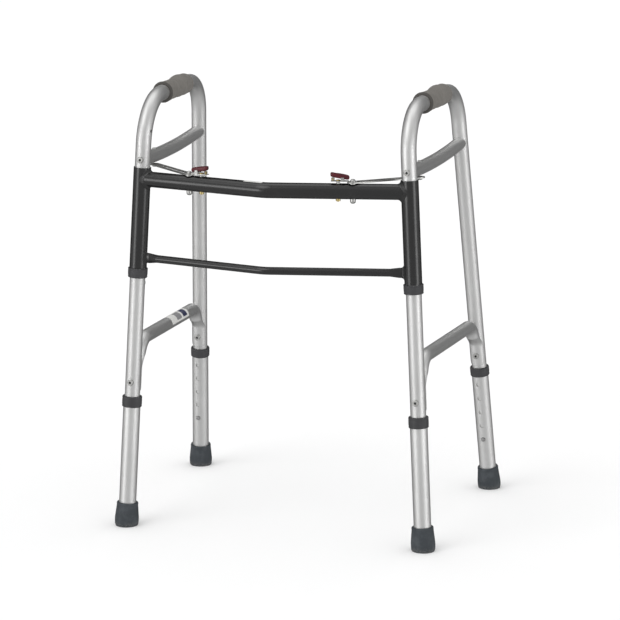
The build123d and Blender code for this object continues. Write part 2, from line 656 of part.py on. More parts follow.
# ---- telescopic legs ----
def leg_parts(which):
    """Extension, collar, rubber tip, snap button and its spring for the front or rear leg."""
    plane = leg_planes[which]
    inner_r = extension_d / 2 - extension_wall
    tube_top = collar_top_h[which] - collar_lip_h

    def ring(h0, h1, outer, inner):
        """A ring round the leg between two heights."""
        flat = plane.offset(h0) * (Circle(outer) - Circle(inner))
        return extrude(flat, h1 - h0)

    extension = ring(extension_foot_h, tube_top, extension_d / 2, inner_r)
    for i in range(hole_count):
        at = plane.origin + plane.z_dir * (first_hole_h[which] + i * hole_pitch)
        drill = Plane(origin=at, z_dir=plane.y_dir)
        extension -= extrude(drill * Circle(hole_d / 2), extension_d)

    collar_plane = plane.offset(collar_bottom_h[which])
    collar = extrude(collar_plane * Circle(collar_d / 2), collar_h[which])
    rims = collar.edges().filter_by(GeomType.CIRCLE).group_by(seat_axis(collar_plane))
    collar = fillet(rims[0] + rims[-1], collar_edge_r)
    collar -= extrude(collar_plane * Circle(extension_d / 2), collar_h[which] - collar_lip_h)
    collar -= extrude(collar_plane * Circle(inner_r), collar_h[which])

    tip_belly_r = extension_d / 2 + tip_belly_wall
    tip_sole_r = extension_d / 2 + tip_sole_wall
    foot_edge = ThreePointArc(
        (tip_sole_r - tip_edge_in, 0), (tip_sole_r + tip_edge_out, tip_edge_turn_h),
        (tip_belly_r, tip_edge_h),
    )
    profile = Polyline(
        (tip_belly_r, tip_edge_h), (tip_belly_r, tip_belly_h),
        (extension_d / 2 + tip_rim_wall, tip_h),
        (extension_d / 2, tip_h), (extension_d / 2, extension_foot_h), (0, extension_foot_h),
        (0, -tip_edge_h), (tip_sole_r - tip_edge_in, -tip_edge_h), (tip_sole_r - tip_edge_in, 0),
    )
    outline = Plane(origin=plane.origin, x_dir=plane.x_dir, z_dir=plane.y_dir * -1)
    tip = revolve(outline * make_face(foot_edge + profile), Axis(plane.origin, plane.z_dir))
    tip -= Pos(plane.origin.X, plane.origin.Y, -tip_h) * Box(2 * tip_h, 2 * tip_h, 2 * tip_h)

    at = plane.origin + plane.z_dir * first_hole_h[which]
    push = Plane(origin=at, z_dir=plane.y_dir)
    face_r = extension_d / 2 + button_proud
    button = extrude(push.offset(button_root_r) * Circle(button_d / 2), face_r - button_root_r)
    button = fillet(button.edges().filter_by(GeomType.CIRCLE).group_by(seat_axis(push))[-1], button_edge_r)
    button += extrude(push.offset(button_root_r) * Circle(button_flange_d / 2), button_flange_h)

    # the leaf spring is a V that presses the button out and bears on the far wall
    wall_r = side_r - side_tube_wall
    leaf_y = button_root_r - spring_strip / 2 - seat_gap
    far_y = -(wall_r - spring_far_gap)
    leaf = Plane(origin=at, x_dir=plane.y_dir, z_dir=plane.x_dir)
    up = 1 if leaf.y_dir.dot(plane.z_dir) > 0 else -1
    bends = Polyline(
        (leaf_y, up * spring_top), (leaf_y, -up * spring_tail), (0, -up * spring_length),
        (far_y, -up * spring_far_tail),
    )
    spring = extrude(leaf * trace(bends, spring_strip), spring_strip_w / 2, both=True)
    return {
        "leg_extension": extension, "leg_collar": collar, "rubber_tip": tip,
        "snap_button": button, "snap_spring": spring,
    }


legs = {which: leg_parts(which) for which in ("front", "rear")}


# ---- nodes ----
right_parts = {
    "side_tube": side_tube, "upper_brace": upper_brace, "lower_brace": lower_brace,
    "hand_grip": hand_grip, "brace_screws": brace_screws, "brace_nuts": brace_nuts,
    "sleeve_collar": sleeve_collar, "collar_rivet": collar_rivet, "link_bolt": link_bolt,
    "link": link, "link_nut": link_nut, "pivot_sleeve": pivot_sleeve,
    "catch_strip": catch_strip, "lever_arm": lever_arm, "lever_grip": lever_grip,
    "snap_springs": [legs["front"]["snap_spring"], legs["rear"]["snap_spring"]],
}
for which, pieces in legs.items():
    for name, piece in pieces.items():
        if name != "snap_spring":
            right_parts[f"{which}_{name}"] = piece
shared_pairs = {
    "guide_bolts": guide_bolt, "guide_washers": guide_washer, "guide_spacers": guide_spacer,
    "guide_nuts": guide_nut, "catch_bolts": catch_bolt, "catch_spacers": catch_spacer,
    "catch_nuts": catch_nut, "catch_springs": catch_spring, "lever_pins": lever_pin,
}


def solids_of(piece):
    """The solids of one piece or of a list of pieces."""
    if isinstance(piece, list):
        return [solid for item in piece for solid in item.solids()]
    return piece.solids()


nodes = {"upper_crossbar": upper_crossbar.solids(), "lower_crossbar": lower_crossbar.solids()}
for name, piece in right_parts.items():
    nodes[f"right_{name}"] = solids_of(piece)
    nodes[f"left_{name}"] = [mirror(solid, about=Plane.YZ) for solid in solids_of(piece)]
for name, piece in shared_pairs.items():
    right_solids = solids_of(piece)
    nodes[name] = right_solids + [mirror(solid, about=Plane.YZ) for solid in right_solids]

# the origin is the middle of the footprint, on the floor
extent = Compound(children=[Compound(solids) for solids in nodes.values()]).bounding_box()
shift = Vector(0, -(extent.min.Y + extent.max.Y) / 2, 0)
for name, solids in nodes.items():
    moved = [Pos(shift.X, shift.Y, shift.Z) * solid for solid in solids]
    export_step(moved[0] if len(moved) == 1 else Compound(children=moved), f"parts/{name}.step")
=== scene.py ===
"""Looks of the folding walking frame, built round its packed mechanical frame.

The tubes, bolts, links and buttons keep their own meshes and get better finishes. Grips, rubber
tips, collars, lower braces, levers, screw heads, welds and labels are new surfaces, each a formula
on a grid.
"""
import json
import logging
import math
from dataclasses import dataclass, field
from enum import Enum
from typing import Any, Callable, Dict, List, Optional, Sequence, Tuple, Union

import bpy
import numpy as np
from mathutils import Matrix, Vector


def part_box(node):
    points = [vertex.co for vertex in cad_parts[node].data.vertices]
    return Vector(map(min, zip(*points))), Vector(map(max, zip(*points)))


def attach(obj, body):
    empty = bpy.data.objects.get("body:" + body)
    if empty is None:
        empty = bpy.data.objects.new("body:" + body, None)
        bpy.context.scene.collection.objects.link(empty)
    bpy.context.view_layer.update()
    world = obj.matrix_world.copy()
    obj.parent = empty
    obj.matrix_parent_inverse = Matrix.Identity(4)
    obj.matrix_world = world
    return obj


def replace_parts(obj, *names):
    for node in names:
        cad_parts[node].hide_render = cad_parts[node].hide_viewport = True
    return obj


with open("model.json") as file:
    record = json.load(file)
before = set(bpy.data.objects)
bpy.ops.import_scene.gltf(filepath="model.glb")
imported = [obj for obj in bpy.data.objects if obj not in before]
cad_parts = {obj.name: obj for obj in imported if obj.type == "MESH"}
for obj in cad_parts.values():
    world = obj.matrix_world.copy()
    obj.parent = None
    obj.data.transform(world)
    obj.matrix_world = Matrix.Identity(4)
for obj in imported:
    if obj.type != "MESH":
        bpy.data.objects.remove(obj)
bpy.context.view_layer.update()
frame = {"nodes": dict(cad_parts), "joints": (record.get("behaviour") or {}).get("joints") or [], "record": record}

LOG = logging.getLogger("walking_frame")
MM = 0.001
FREE = 0.05 * MM
GROOVE_DEPTH = 0.35 * MM
GROOVE_WIDTH = 0.7 * MM
RECORD: Dict[str, Any] = frame["record"]
JOINTS: Dict[str, Dict[str, Any]] = {joint["name"]: joint for joint in frame["joints"]}
SOLES: Dict[str, Dict[str, Any]] = {mount["name"]: mount for mount in RECORD["mounts"]}

Array = np.ndarray
Colour = Tuple[float, float, float]
Shape = Callable[[Array, Array, Array], Array]


class Side(Enum):
    """The two side frames; the right one stands on the side of positive X."""

    LEFT = "left"
    RIGHT = "right"


class Leg(Enum):
    """The two legs of a side frame."""

    FRONT = "front"
    REAR = "rear"


# ---------------------------------------------------------------- lines and grids


def unit(vector: Sequence[float]) -> Array:
    """The vector at length one."""
    array = np.asarray(vector, float)
    return array / np.linalg.norm(array)


def ease(value: Array, low: float, high: float) -> Array:
    """A smooth step: 0 below low, 1 above high, and 3t^2 - 2t^3 between them."""
    share = np.clip((np.asarray(value, float) - low) / (high - low), 0.0, 1.0)
    return share * share * (3.0 - 2.0 * share)


def bump_at(value: Array, centre: float, width: float) -> Array:
    """A bell: exp(-((value - centre) / width)^2)."""
    return np.exp(-(((np.asarray(value, float) - centre) / width) ** 2))


@dataclass(frozen=True)
class Line:
    """A straight axis: a foot point, a direction, and two directions square to it."""

    foot: Array
    up: Array
    across: Array
    beside: Array

    @classmethod
    def through(cls, foot: Sequence[float], up: Sequence[float], hint: Sequence[float]) -> "Line":
        """An axis whose across direction is the part of hint square to it.

        Args:
            foot: A point of the axis.
            up: Its direction.
            hint: A direction that is not parallel to it.

        Returns:
            The axis, with beside = up x across.
        """
        direction = unit(up)
        across = unit(np.asarray(hint, float) - direction * np.dot(hint, direction))
        return cls(np.asarray(foot, float), direction, across, np.cross(direction, across))

    def at(self, height: float) -> Array:
        """The point of the axis at that height."""
        return self.foot + self.up * height

    def round(self, radius: Array, height: Array, angle: Array) -> Array:
        """Points at a radius, height and angle about the axis, as whole arrays."""
        spoke = np.cos(angle)[..., None] * self.across + np.sin(angle)[..., None] * self.beside
        return self.foot + np.asarray(height)[..., None] * self.up + np.asarray(radius)[..., None] * spoke

    def span(self, node: str) -> Tuple[float, float]:
        """The lowest and highest height along this axis of a node's mesh."""
        heights = (points_of(node) - self.foot) @ self.up
        return float(heights.min()), float(heights.max())


def points_of(node: str) -> Array:
    """The points of a frame node's mesh, as rows."""
    mesh = frame["nodes"][node].data
    flat = np.empty(len(mesh.vertices) * 3, np.float32)
    mesh.vertices.foreach_get("co", flat)
    return flat.reshape(-1, 3)


def piece_from(name: str, verts: Array, faces: List[Tuple[int, ...]]) -> bpy.types.Object:
    """Makes a smooth-shaded object whose faces point outwards.

    Args:
        name: The piece's name.
        verts: Its points, in the shared frame, as an array of rows.
        faces: Its faces.

    Returns:
        The linked object, at the origin.
    """
    mesh = bpy.data.meshes.new(name)
    mesh.from_pydata(verts.tolist(), [], faces)
    mesh.polygons.foreach_set("use_smooth", np.ones(len(mesh.polygons), bool))
    mesh.update()
    obj = bpy.data.objects.new(name, mesh)
    bpy.context.scene.collection.objects.link(obj)
    return obj


def set_mark(piece: bpy.types.Object, name: str, values: Array) -> None:
    """Gives the piece's points a value or a vector each, for its material to read.

    Args:
        piece: The piece.
        name: The mark's name.
        values: One value, or one row of three, for each point in order.
    """
    is_row = values.ndim == 2
    mark = piece.data.attributes.new(name, "FLOAT_VECTOR" if is_row else "FLOAT", "POINT")
    mark.data.foreach_set("vector" if is_row else "value", values.astype(np.float32).ravel())


def enclosed(verts: Array, faces: Array) -> float:
    """Six times the signed volume inside quads: the sum of a . (b x c) over their triangles."""
    a, b, c, d = (verts[faces[:, i]] for i in range(4))
    return float(np.sum(a * np.cross(b, c)) + np.sum(a * np.cross(c, d)))


def skin(name: str, rings: Array, joined: bool = False) -> bpy.types.Object:
    """A closed piece from rings of points, point k of each ring joined to point k of the next.

    Args:
        name: The piece's name.
        rings: Points, as ring number, place round the ring, coordinate.
        joined: True where the last ring joins the first, as on a hoop. Otherwise each end is
            closed by a fan to the middle of its ring.

    Returns:
        The linked object.
    """
    count, around, _ = rings.shape
    index = np.arange(count * around).reshape(count, around)
    after = np.roll(index, -1, axis=1)
    if joined:
        quads = np.stack([index, after, np.roll(after, -1, axis=0), np.roll(index, -1, axis=0)], -1)
    else:
        quads = np.stack([index[:-1], after[:-1], after[1:], index[1:]], -1)
    quads = quads.reshape(-1, 4)
    verts = rings.reshape(-1, 3)
    inside_out = enclosed(verts, quads) < 0
    fans: List[Tuple[int, ...]] = []
    if not joined:
        verts = np.vstack([verts, rings[0].mean(axis=0), rings[-1].mean(axis=0)])
        first, last = count * around, count * around + 1
        near = np.stack([after[0], index[0], np.full(around, first)], -1)
        far = np.stack([index[-1], after[-1], np.full(around, last)], -1)
        ends = np.vstack([near, far])
        fans = [tuple(row) for row in (ends[:, ::-1] if inside_out else ends).tolist()]
    if inside_out:
        quads = quads[:, ::-1]
    return piece_from(name, verts, [tuple(row) for row in quads.tolist()] + fans)


def rounded(corners: Sequence[Tuple[float, float]], cut: float, steps: int, closed: bool) -> Array:
    """An outline whose corners are rounded by parabolas.

    Each corner is left at cut before it and joined again at cut after it, along the curve
    (1-t)^2 a + 2t(1-t) corner + t^2 b.

    Args:
        corners: The outline's corners.
        cut: How far from the corner the curve starts, limited to half of each edge.
        steps: Points on each curve.
        closed: True where the last corner joins the first.

    Returns:
        The outline's points as rows.
    """
    points = np.asarray(corners, float)
    before = np.roll(points, 1, axis=0) - points
    behind = np.roll(points, -1, axis=0) - points
    share = np.linspace(0.0, 1.0, steps)[:, None]
    runs = []
    for corner, back_edge, next_edge in zip(points, before, behind):
        start = corner + back_edge * min(cut / np.linalg.norm(back_edge), 0.5)
        stop = corner + next_edge * min(cut / np.linalg.norm(next_edge), 0.5)
        runs.append((1 - share) ** 2 * start + 2 * share * (1 - share) * corner + share**2 * stop)
    if not closed:
        runs[0], runs[-1] = points[:1], points[-1:]
    return np.vstack(runs)


def turned(
    name: str,
    axis: Line,
    outline: Array,
    around: int,
    joined: bool,
    shape: Optional[Shape] = None,
    floor: bool = False,
) -> bpy.types.Object:
    """A turned piece: an outline of radius and height carried round an axis.

    Args:
        name: The piece's name.
        axis: The axis it is turned about.
        outline: Rows of radius and height.
        around: Points round the axis.
        joined: True where the outline is a closed loop.
        shape: Gives a change of radius from radius, height and angle.
        floor: True where points below the floor are pressed flat on it.

    Returns:
        The linked object.
    """
    angle = np.linspace(0.0, 2.0 * math.pi, around, endpoint=False)[None, :]
    radius = np.repeat(outline[:, :1], around, axis=1)
    height = np.repeat(outline[:, 1:], around, axis=1)
    angle = np.repeat(angle, len(outline), axis=0)
    if shape is not None:
        radius = radius + shape(radius, height, angle)
    rings = axis.round(radius, height, angle)
    if floor:
        rings[..., 2] = np.maximum(rings[..., 2], 0.0)
    return skin(name, rings, joined)


# ---------------------------------------------------------------- shader maths

Value = Union["Wire", float, int, Tuple[float, ...]]


class Wire:
    """An output socket that does sums: each sum adds a Math node to its tree."""

    def __init__(self, tree: "Tree", socket: Optional[bpy.types.NodeSocket]) -> None:
        """Keeps the socket and the tree that it belongs to."""
        self.tree = tree
        self.socket = socket

    def _sum(self, operation: str, first: Value, second: Value) -> "Wire":
        """One Math node on two values."""
        return self.tree.add("ShaderNodeMath", {"operation": operation}, {0: first, 1: second})

    def __add__(self, other: Value) -> "Wire":
        """self + other."""
        return self._sum("ADD", self, other)

    def __radd__(self, other: Value) -> "Wire":
        """other + self."""
        return self._sum("ADD", other, self)

    def __sub__(self, other: Value) -> "Wire":
        """self - other."""
        return self._sum("SUBTRACT", self, other)

    def __rsub__(self, other: Value) -> "Wire":
        """other - self."""
        return self._sum("SUBTRACT", other, self)

    def __mul__(self, other: Value) -> "Wire":
        """self * other."""
        return self._sum("MULTIPLY", self, other)

    def __rmul__(self, other: Value) -> "Wire":
        """other * self."""
        return self._sum("MULTIPLY", other, self)

    def step(self, low: float, high: float, start: float = 0.0, stop: float = 1.0) -> "Wire":
        """A smooth step from start, at or below low, to stop, at or above high.

        Args:
            low: Where the step starts.
            high: Where it ends.
            start: The value before it.
            stop: The value after it.

        Returns:
            The stepped value.
        """
        return self.tree.add(
            "ShaderNodeMapRange",
            {"interpolation_type": "SMOOTHSTEP"},
            {0: self, 1: low, 2: high, 3: start, 4: stop},
        )


class Tree:
    """A node tree with one method that adds any node."""

    def __init__(self, nodes: bpy.types.NodeTree) -> None:
        """Takes a tree and empties it."""
        self.tree = nodes
        self.tree.nodes.clear()

    def add(
        self,
        kind: str,
        settings: Optional[Dict[str, Any]] = None,
        inputs: Optional[Dict[Union[int, str], Value]] = None,
        output: Union[int, str] = 0,
    ) -> Wire:
        """Adds a node, sets it up and links it.

        Args:
            kind: The node's type.
            settings: Its settings, such as an operation.
            inputs: Values or wires for its sockets, by number or name.
            output: The socket that the wire comes from, where the node has one.

        Returns:
            The wire from that socket.
        """
        node = self.tree.nodes.new(kind)
        for key, value in (settings or {}).items():
            setattr(node, key, value)
        for key, value in (inputs or {}).items():
            socket = node.inputs[key]
            if isinstance(value, Wire):
                self.tree.links.new(value.socket, socket)
            elif isinstance(value, tuple) and socket.type == "RGBA" and len(value) == 3:
                socket.default_value = (*value, 1.0)
            else:
                socket.default_value = value
        return Wire(self, node.outputs[output] if node.outputs else None)

    def place(self, stretch: Tuple[float, float, float] = (1.0, 1.0, 1.0)) -> Wire:
        """Object coordinates, scaled along each axis."""
        point = self.add("ShaderNodeTexCoord", output="Object")
        return self.add("ShaderNodeMapping", {"vector_type": "POINT"}, {"Vector": point, "Scale": stretch})

    def noise(
        self,
        scale: float,
        detail: float = 3.0,
        stretch: Tuple[float, float, float] = (1.0, 1.0, 1.0),
        seed: float = 0.0,
    ) -> Wire:
        """Fractal noise on Object coordinates.

        Args:
            scale: Features per metre.
            detail: Octaves.
            stretch: Scale along each axis, below 1 for a longer feature.
            seed: Moves the pattern, so that two noises differ.

        Returns:
            The noise, about 0.3 to 0.7.
        """
        return self.add(
            "ShaderNodeTexNoise",
            {"noise_dimensions": "4D"},
            {"Vector": self.place(stretch), "W": seed, "Scale": scale, "Detail": detail, "Roughness": 0.55},
        )

    def cells(self, scale: float) -> Wire:
        """Distance to the nearest of scattered points, for pits and stipple."""
        return self.add("ShaderNodeTexVoronoi", {}, {"Vector": self.place(), "Scale": scale})

    def mark(self, name: str, output: str = "Fac") -> Wire:
        """A value that a piece's own mesh carries for each point."""
        return self.add("ShaderNodeAttribute", {"attribute_name": name}, output=output)

    def part(self, vector: Wire, letter: str) -> Wire:
        """One of a vector's three parts."""
        return self.add("ShaderNodeSeparateXYZ", {}, {0: vector}, output=letter)

    def blend(self, share: Value, first: Value, second: Value) -> Wire:
        """A colour between first and second."""
        return self.add(
            "ShaderNodeMix", {"data_type": "RGBA"}, {0: share, 6: first, 7: second}, output=2
        )

    def relief(self, height: Wire, depth: float, strength: float = 1.0) -> Wire:
        """A normal from a height between 0 and 1.

        Args:
            height: The height.
            depth: The real depth in metres that a height of 1 stands for.
            strength: How much of it shows.

        Returns:
            The normal.
        """
        return self.add("ShaderNodeBump", {}, {"Height": height, "Distance": depth, "Strength": strength})

    def surface(self, fixed: Dict[str, Any], varying: Dict[str, Wire]) -> None:
        """Ends the tree in one principled shader.

        Args:
            fixed: Values that are the same all over, set on the shader's sockets.
            varying: Wires for what changes over the surface.
        """
        shader = self.add("ShaderNodeBsdfPrincipled", {}, {**fixed, **varying})
        self.add("ShaderNodeOutputMaterial", {}, {"Surface": shader})


# ---------------------------------------------------------------- finishes


@dataclass(frozen=True)
class Finish:
    """A named finish; each kind says how its tree is made."""

    name: str = "finish"

    def draw(self, tree: Tree) -> None:
        """Fills the tree."""
        raise NotImplementedError

    def material(self) -> bpy.types.Material:
        """The finish as a material, made once."""
        found = bpy.data.materials.get(self.name)
        if found is not None:
            return found
        made = bpy.data.materials.new(self.name)
        made.use_nodes = True
        self.draw(Tree(made.node_tree))
        return made


@dataclass(frozen=True)
class SatinTube(Finish):
    """Satin anodised aluminium tube: fine grain, drawing lines, clouds and handling marks."""

    name: str = "satin_anodised_tube"
    tint: Colour = (0.72, 0.72, 0.715)
    worn: Colour = (0.80, 0.80, 0.79)
    roughness: float = 0.42
    grain_per_m: float = 2400.0
    lines_per_m: float = 900.0
    line_stretch: Tuple[float, float, float] = (1.0, 1.0, 0.02)

    def draw(self, tree: Tree) -> None:
        """Clouds shift the colour, lines and grain roughen it, and marks polish it."""
        clouds = tree.noise(9.0, 4.0)
        lines = tree.noise(self.lines_per_m, 2.0, self.line_stretch, 3.0)
        grain = tree.noise(self.grain_per_m, 1.0, seed=5.0)
        marks = tree.noise(34.0, 5.0, (1.0, 1.0, 0.35), 8.0).step(0.60, 0.74)
        scratch = lines.step(0.66, 0.72) * tree.noise(18.0, 2.0, seed=11.0).step(0.5, 0.62)
        base = tree.blend(clouds.step(0.35, 0.65), self.tint, tuple(0.94 * c for c in self.tint))
        tree.surface(
            {"Metallic": 1.0, "Specular IOR Level": 0.5},
            {
                "Base Color": tree.blend(scratch * 0.6 + marks * 0.25, base, self.worn),
                "Roughness": self.roughness + clouds * 0.08 - marks * 0.06 + lines * 0.06,
                "Normal": tree.relief(grain * 0.6 + lines * 0.7, 0.00003, 0.6),
            },
        )


@dataclass(frozen=True)
class PowderCoat(Finish):
    """Black satin powder coat: orange peel, specks of dust and rubbed patches."""

    name: str = "black_powder_coat"
    tint: Colour = (0.004, 0.004, 0.0042)
    rubbed: Colour = (0.014, 0.014, 0.0145)
    roughness: float = 0.23
    peel_per_m: float = 420.0

    def draw(self, tree: Tree) -> None:
        """Peel is a soft relief, dust is pale specks, and rubbing is smoother and paler."""
        peel = tree.noise(self.peel_per_m, 2.0)
        fine = tree.noise(1900.0, 1.0, seed=2.0)
        rubbing = tree.noise(22.0, 5.0, seed=6.0).step(0.55, 0.72)
        dust = tree.cells(700.0).step(0.06, 0.02) * tree.noise(60.0, 2.0, seed=9.0).step(0.5, 0.7)
        base = tree.blend(rubbing * 0.5, self.tint, self.rubbed)
        tree.surface(
            {"Specular IOR Level": 0.68},
            {
                "Base Color": tree.blend(dust * 0.35, base, (0.35, 0.34, 0.33)),
                "Roughness": self.roughness + fine * 0.08 - rubbing * 0.08,
                "Normal": tree.relief(peel + fine * 0.2, 0.00010, 0.55),
            },
        )


@dataclass(frozen=True)
class MouldedPlastic(Finish):
    """Moulded plastic: a spark-eroded grain, flow marks and a little shine."""

    name: str = "charcoal_collar_plastic"
    tint: Colour = (0.036, 0.036, 0.039)
    flow: Colour = (0.055, 0.055, 0.058)
    roughness: float = 0.5
    grain_per_m: float = 1500.0
    depth: float = 0.00005

    def draw(self, tree: Tree) -> None:
        """Grain is relief, and flow marks run slowly through colour and roughness."""
        grain = tree.cells(self.grain_per_m)
        flow = tree.noise(45.0, 4.0, (1.0, 1.0, 0.4), 4.0)
        scuff = tree.noise(260.0, 3.0, (1.0, 1.0, 0.15), 7.0).step(0.62, 0.72)
        tree.surface(
            {"Specular IOR Level": 0.45},
            {
                "Base Color": tree.blend(flow.step(0.4, 0.7) * 0.6 + scuff * 0.4, self.tint, self.flow),
                "Roughness": self.roughness + flow * 0.12 - scuff * 0.1,
                "Normal": tree.relief(grain, self.depth, 0.5),
            },
        )


@dataclass(frozen=True)
class TipRubber(Finish):
    """Blue-grey rubber tip: bloom on the sides, and floor dust and scuffs round the sole."""

    name: str = "blue_grey_tip_rubber"
    tint: Colour = (0.037, 0.044, 0.051)
    bloom: Colour = (0.062, 0.070, 0.078)
    dust: Colour = (0.17, 0.165, 0.155)
    dust_height: float = 0.011

    def draw(self, tree: Tree) -> None:
        """Dust fades out above the floor, broken up by noise."""
        height = tree.part(tree.place(), "Z")
        grit = tree.noise(420.0, 4.0, seed=1.0)
        bloom = tree.noise(55.0, 4.0, seed=3.0).step(0.42, 0.68)
        low = height.step(0.0, self.dust_height, 1.0, 0.0) * grit.step(0.42, 0.6)
        base = tree.blend(bloom, self.tint, self.bloom)
        tree.surface(
            {"Specular IOR Level": 0.4},
            {
                "Base Color": tree.blend(low * 0.6, base, self.dust),
                "Roughness": 0.58 + grit * 0.15 + low * 0.2,
                "Normal": tree.relief(grit + tree.cells(1300.0) * 0.5, 0.00007, 0.55),
            },
        )


@dataclass(frozen=True)
class GripRubber(Finish):
    """Warm grey hand grip: a fine stipple, darker in its hollows, polished where hands rub it."""

    name: str = "warm_grey_grip_rubber"
    tint: Colour = (0.185, 0.174, 0.158)
    hollow: Colour = (0.125, 0.117, 0.106)
    polished: Colour = (0.215, 0.203, 0.186)
    lip: Colour = (0.062, 0.058, 0.053)

    def draw(self, tree: Tree) -> None:
        """Stipple is relief and shade together, polish follows a slow noise, and the lip is darker."""
        lip = tree.mark("lip")
        stipple = tree.cells(1100.0)
        pores = stipple.step(0.5, 0.15)
        polish = tree.noise(26.0, 3.0, seed=2.0).step(0.45, 0.7)
        mottle = tree.noise(160.0, 4.0, seed=5.0)
        base = tree.blend(mottle.step(0.35, 0.7), self.tint, tuple(0.86 * c for c in self.tint))
        handled = tree.blend(polish * 0.5, base, self.polished)
        skin = tree.blend(pores * 0.4, handled, self.hollow)
        tree.surface(
            {"Specular IOR Level": 0.35},
            {
                "Base Color": tree.blend(lip * 0.9, skin, self.lip),
                "Roughness": 0.62 - polish * 0.12 + mottle * 0.1,
                "Normal": tree.relief(stipple + mottle * 0.5, 0.00009, 0.6),
            },
        )


class Plating(Enum):
    """The metals of the small parts: colour, roughness and tarnish colour."""

    ZINC = ((0.52, 0.52, 0.50), 0.34, (0.36, 0.36, 0.37))
    NICKEL = ((0.52, 0.52, 0.51), 0.22, (0.38, 0.37, 0.35))
    BRASS = ((0.52, 0.42, 0.20), 0.26, (0.30, 0.23, 0.10))
    SPRING = ((0.42, 0.42, 0.42), 0.32, (0.25, 0.24, 0.24))
    BLACKED = ((0.05, 0.05, 0.05), 0.42, (0.09, 0.085, 0.08))


@dataclass(frozen=True)
class PlatedSteel(Finish):
    """A small plated part: patchy plating, tool marks and slight tarnish."""

    name: str = "plated"
    plating: Plating = Plating.ZINC

    def draw(self, tree: Tree) -> None:
        """Tarnish gathers in patches, and tool marks run across the part."""
        bright, roughness, dull = self.plating.value
        patches = tree.noise(240.0, 4.0).step(0.42, 0.68)
        tooling = tree.noise(1500.0, 2.0, (1.0, 0.12, 1.0), 4.0)
        tree.surface(
            {"Metallic": 1.0},
            {
                "Base Color": tree.blend(patches * 0.6, bright, dull),
                "Roughness": roughness + patches * 0.12 + tooling * 0.08,
                "Normal": tree.relief(tooling + patches * 0.3, 0.00003, 0.5),
            },
        )


@dataclass(frozen=True)
class ScrewPlate(Finish):
    """A plated screw head: bright crown, turning marks, and painted shade in the recess and at the foot of the
    rim.
    """

    name: str = "screw_plate"
    bright: Colour = (0.66, 0.66, 0.65)
    painted_recess_shade: Colour = (0.02, 0.02, 0.02)

    def draw(self, tree: Tree) -> None:
        """The piece's own hollow value darkens and dulls the recess and the foot of the rim; the darkening is
        painted shade.
        """
        hollow = tree.mark("hollow")
        wear = tree.noise(700.0, 4.0)
        # painted shade: the recess and the foot of the rim blend towards a near-black colour
        dark = hollow.step(0.25, 0.8) * (0.85 + wear * 0.2)
        crown = tree.blend(wear.step(0.35, 0.7), self.bright, tuple(0.8 * c for c in self.bright))
        tree.surface(
            {"Metallic": 1.0},
            {
                "Base Color": tree.blend(dark, crown, self.painted_recess_shade),
                "Roughness": 0.24 + wear * 0.1 + dark * 0.3,
                "Normal": tree.relief(tree.noise(1800.0, 2.0, (1.0, 0.2, 1.0), 3.0), 0.00002, 0.4),
            },
        )


@dataclass(frozen=True)
class LeverPlastic(Finish):
    """Maroon lever moulding: glossy, with swirls in the colour and fingertip wear."""

    name: str = "maroon_lever_plastic"
    tint: Colour = (0.060, 0.0045, 0.009)
    swirl: Colour = (0.10, 0.008, 0.013)

    def draw(self, tree: Tree) -> None:
        """Swirls are stretched noise, and wear roughens the shine."""
        swirl = tree.noise(150.0, 3.0, (0.4, 1.0, 1.0))
        wear = tree.noise(420.0, 4.0, seed=3.0).step(0.5, 0.7)
        tree.surface(
            {"Specular IOR Level": 0.35},
            {
                "Base Color": tree.blend(swirl.step(0.4, 0.7), self.tint, self.swirl),
                "Roughness": 0.33 + wear * 0.16,
                "Normal": tree.relief(tree.noise(1100.0, 2.0, seed=6.0), 0.00004, 0.4),
            },
        )


@dataclass(frozen=True)
class PlainLabel(Finish):
    """A blank paper label: pale stock, one grey block and one dark band, with no lettering."""

    name: str = "plain_paper_label"
    stock: Colour = (0.72, 0.72, 0.70)
    block: Colour = (0.24, 0.24, 0.25)
    band: Colour = (0.03, 0.035, 0.09)
    margins: Tuple[float, float] = (0.14, 0.86)
    block_span: Tuple[float, float] = (0.30, 0.58)
    band_span: Tuple[float, float] = (0.66, 0.90)

    def draw(self, tree: Tree) -> None:
        """Reads the sheet's own places: x runs 0 to 1 along it and y runs 0 to 1 across it."""
        sheet = tree.mark("sheet", "Vector")
        along, across = tree.part(sheet, "X"), tree.part(sheet, "Y")

        def between(place: Wire, limits: Tuple[float, float], soft: float) -> Wire:
            """1 between the limits, with soft edges just inside them."""
            return place.step(limits[0], limits[0] + soft) * place.step(limits[1], limits[1] - soft)

        inside = between(across, self.margins, 0.03)
        block = between(along, self.block_span, 0.01) * inside
        band = between(along, self.band_span, 0.01) * inside
        fibre = tree.noise(900.0, 4.0)
        paper = tree.blend(fibre.step(0.3, 0.7), self.stock, tuple(0.92 * c for c in self.stock))
        tree.surface(
            {"Specular IOR Level": 0.5},
            {
                "Base Color": tree.blend(band, tree.blend(block, paper, self.block), self.band),
                "Roughness": 0.38 + fibre * 0.1,
                "Normal": tree.relief(fibre, 0.00002, 0.4),
            },
        )


TUBE = SatinTube()
COAT = PowderCoat()
COLLAR = MouldedPlastic()
TIP = TipRubber()
GRIP = GripRubber()
LEVER = LeverPlastic()
LABEL = PlainLabel()
SCREW = ScrewPlate()
STEEL = {plating: PlatedSteel(f"{plating.name.lower()}_plate", plating) for plating in Plating}
SLOT_FINISH: Dict[str, Finish] = {
    "anodised_tube": TUBE,
    "black_coat": COAT,
    "charcoal_collar": COLLAR,
    "tip_rubber": TIP,
    "grip_rubber": GRIP,
    "red_lever": LEVER,
    "lever_steel": STEEL[Plating.BLACKED],
    "zinc_steel": STEEL[Plating.ZINC],
    "bright_steel": STEEL[Plating.NICKEL],
    "brass": STEEL[Plating.BRASS],
    "spring_steel": STEEL[Plating.SPRING],
}


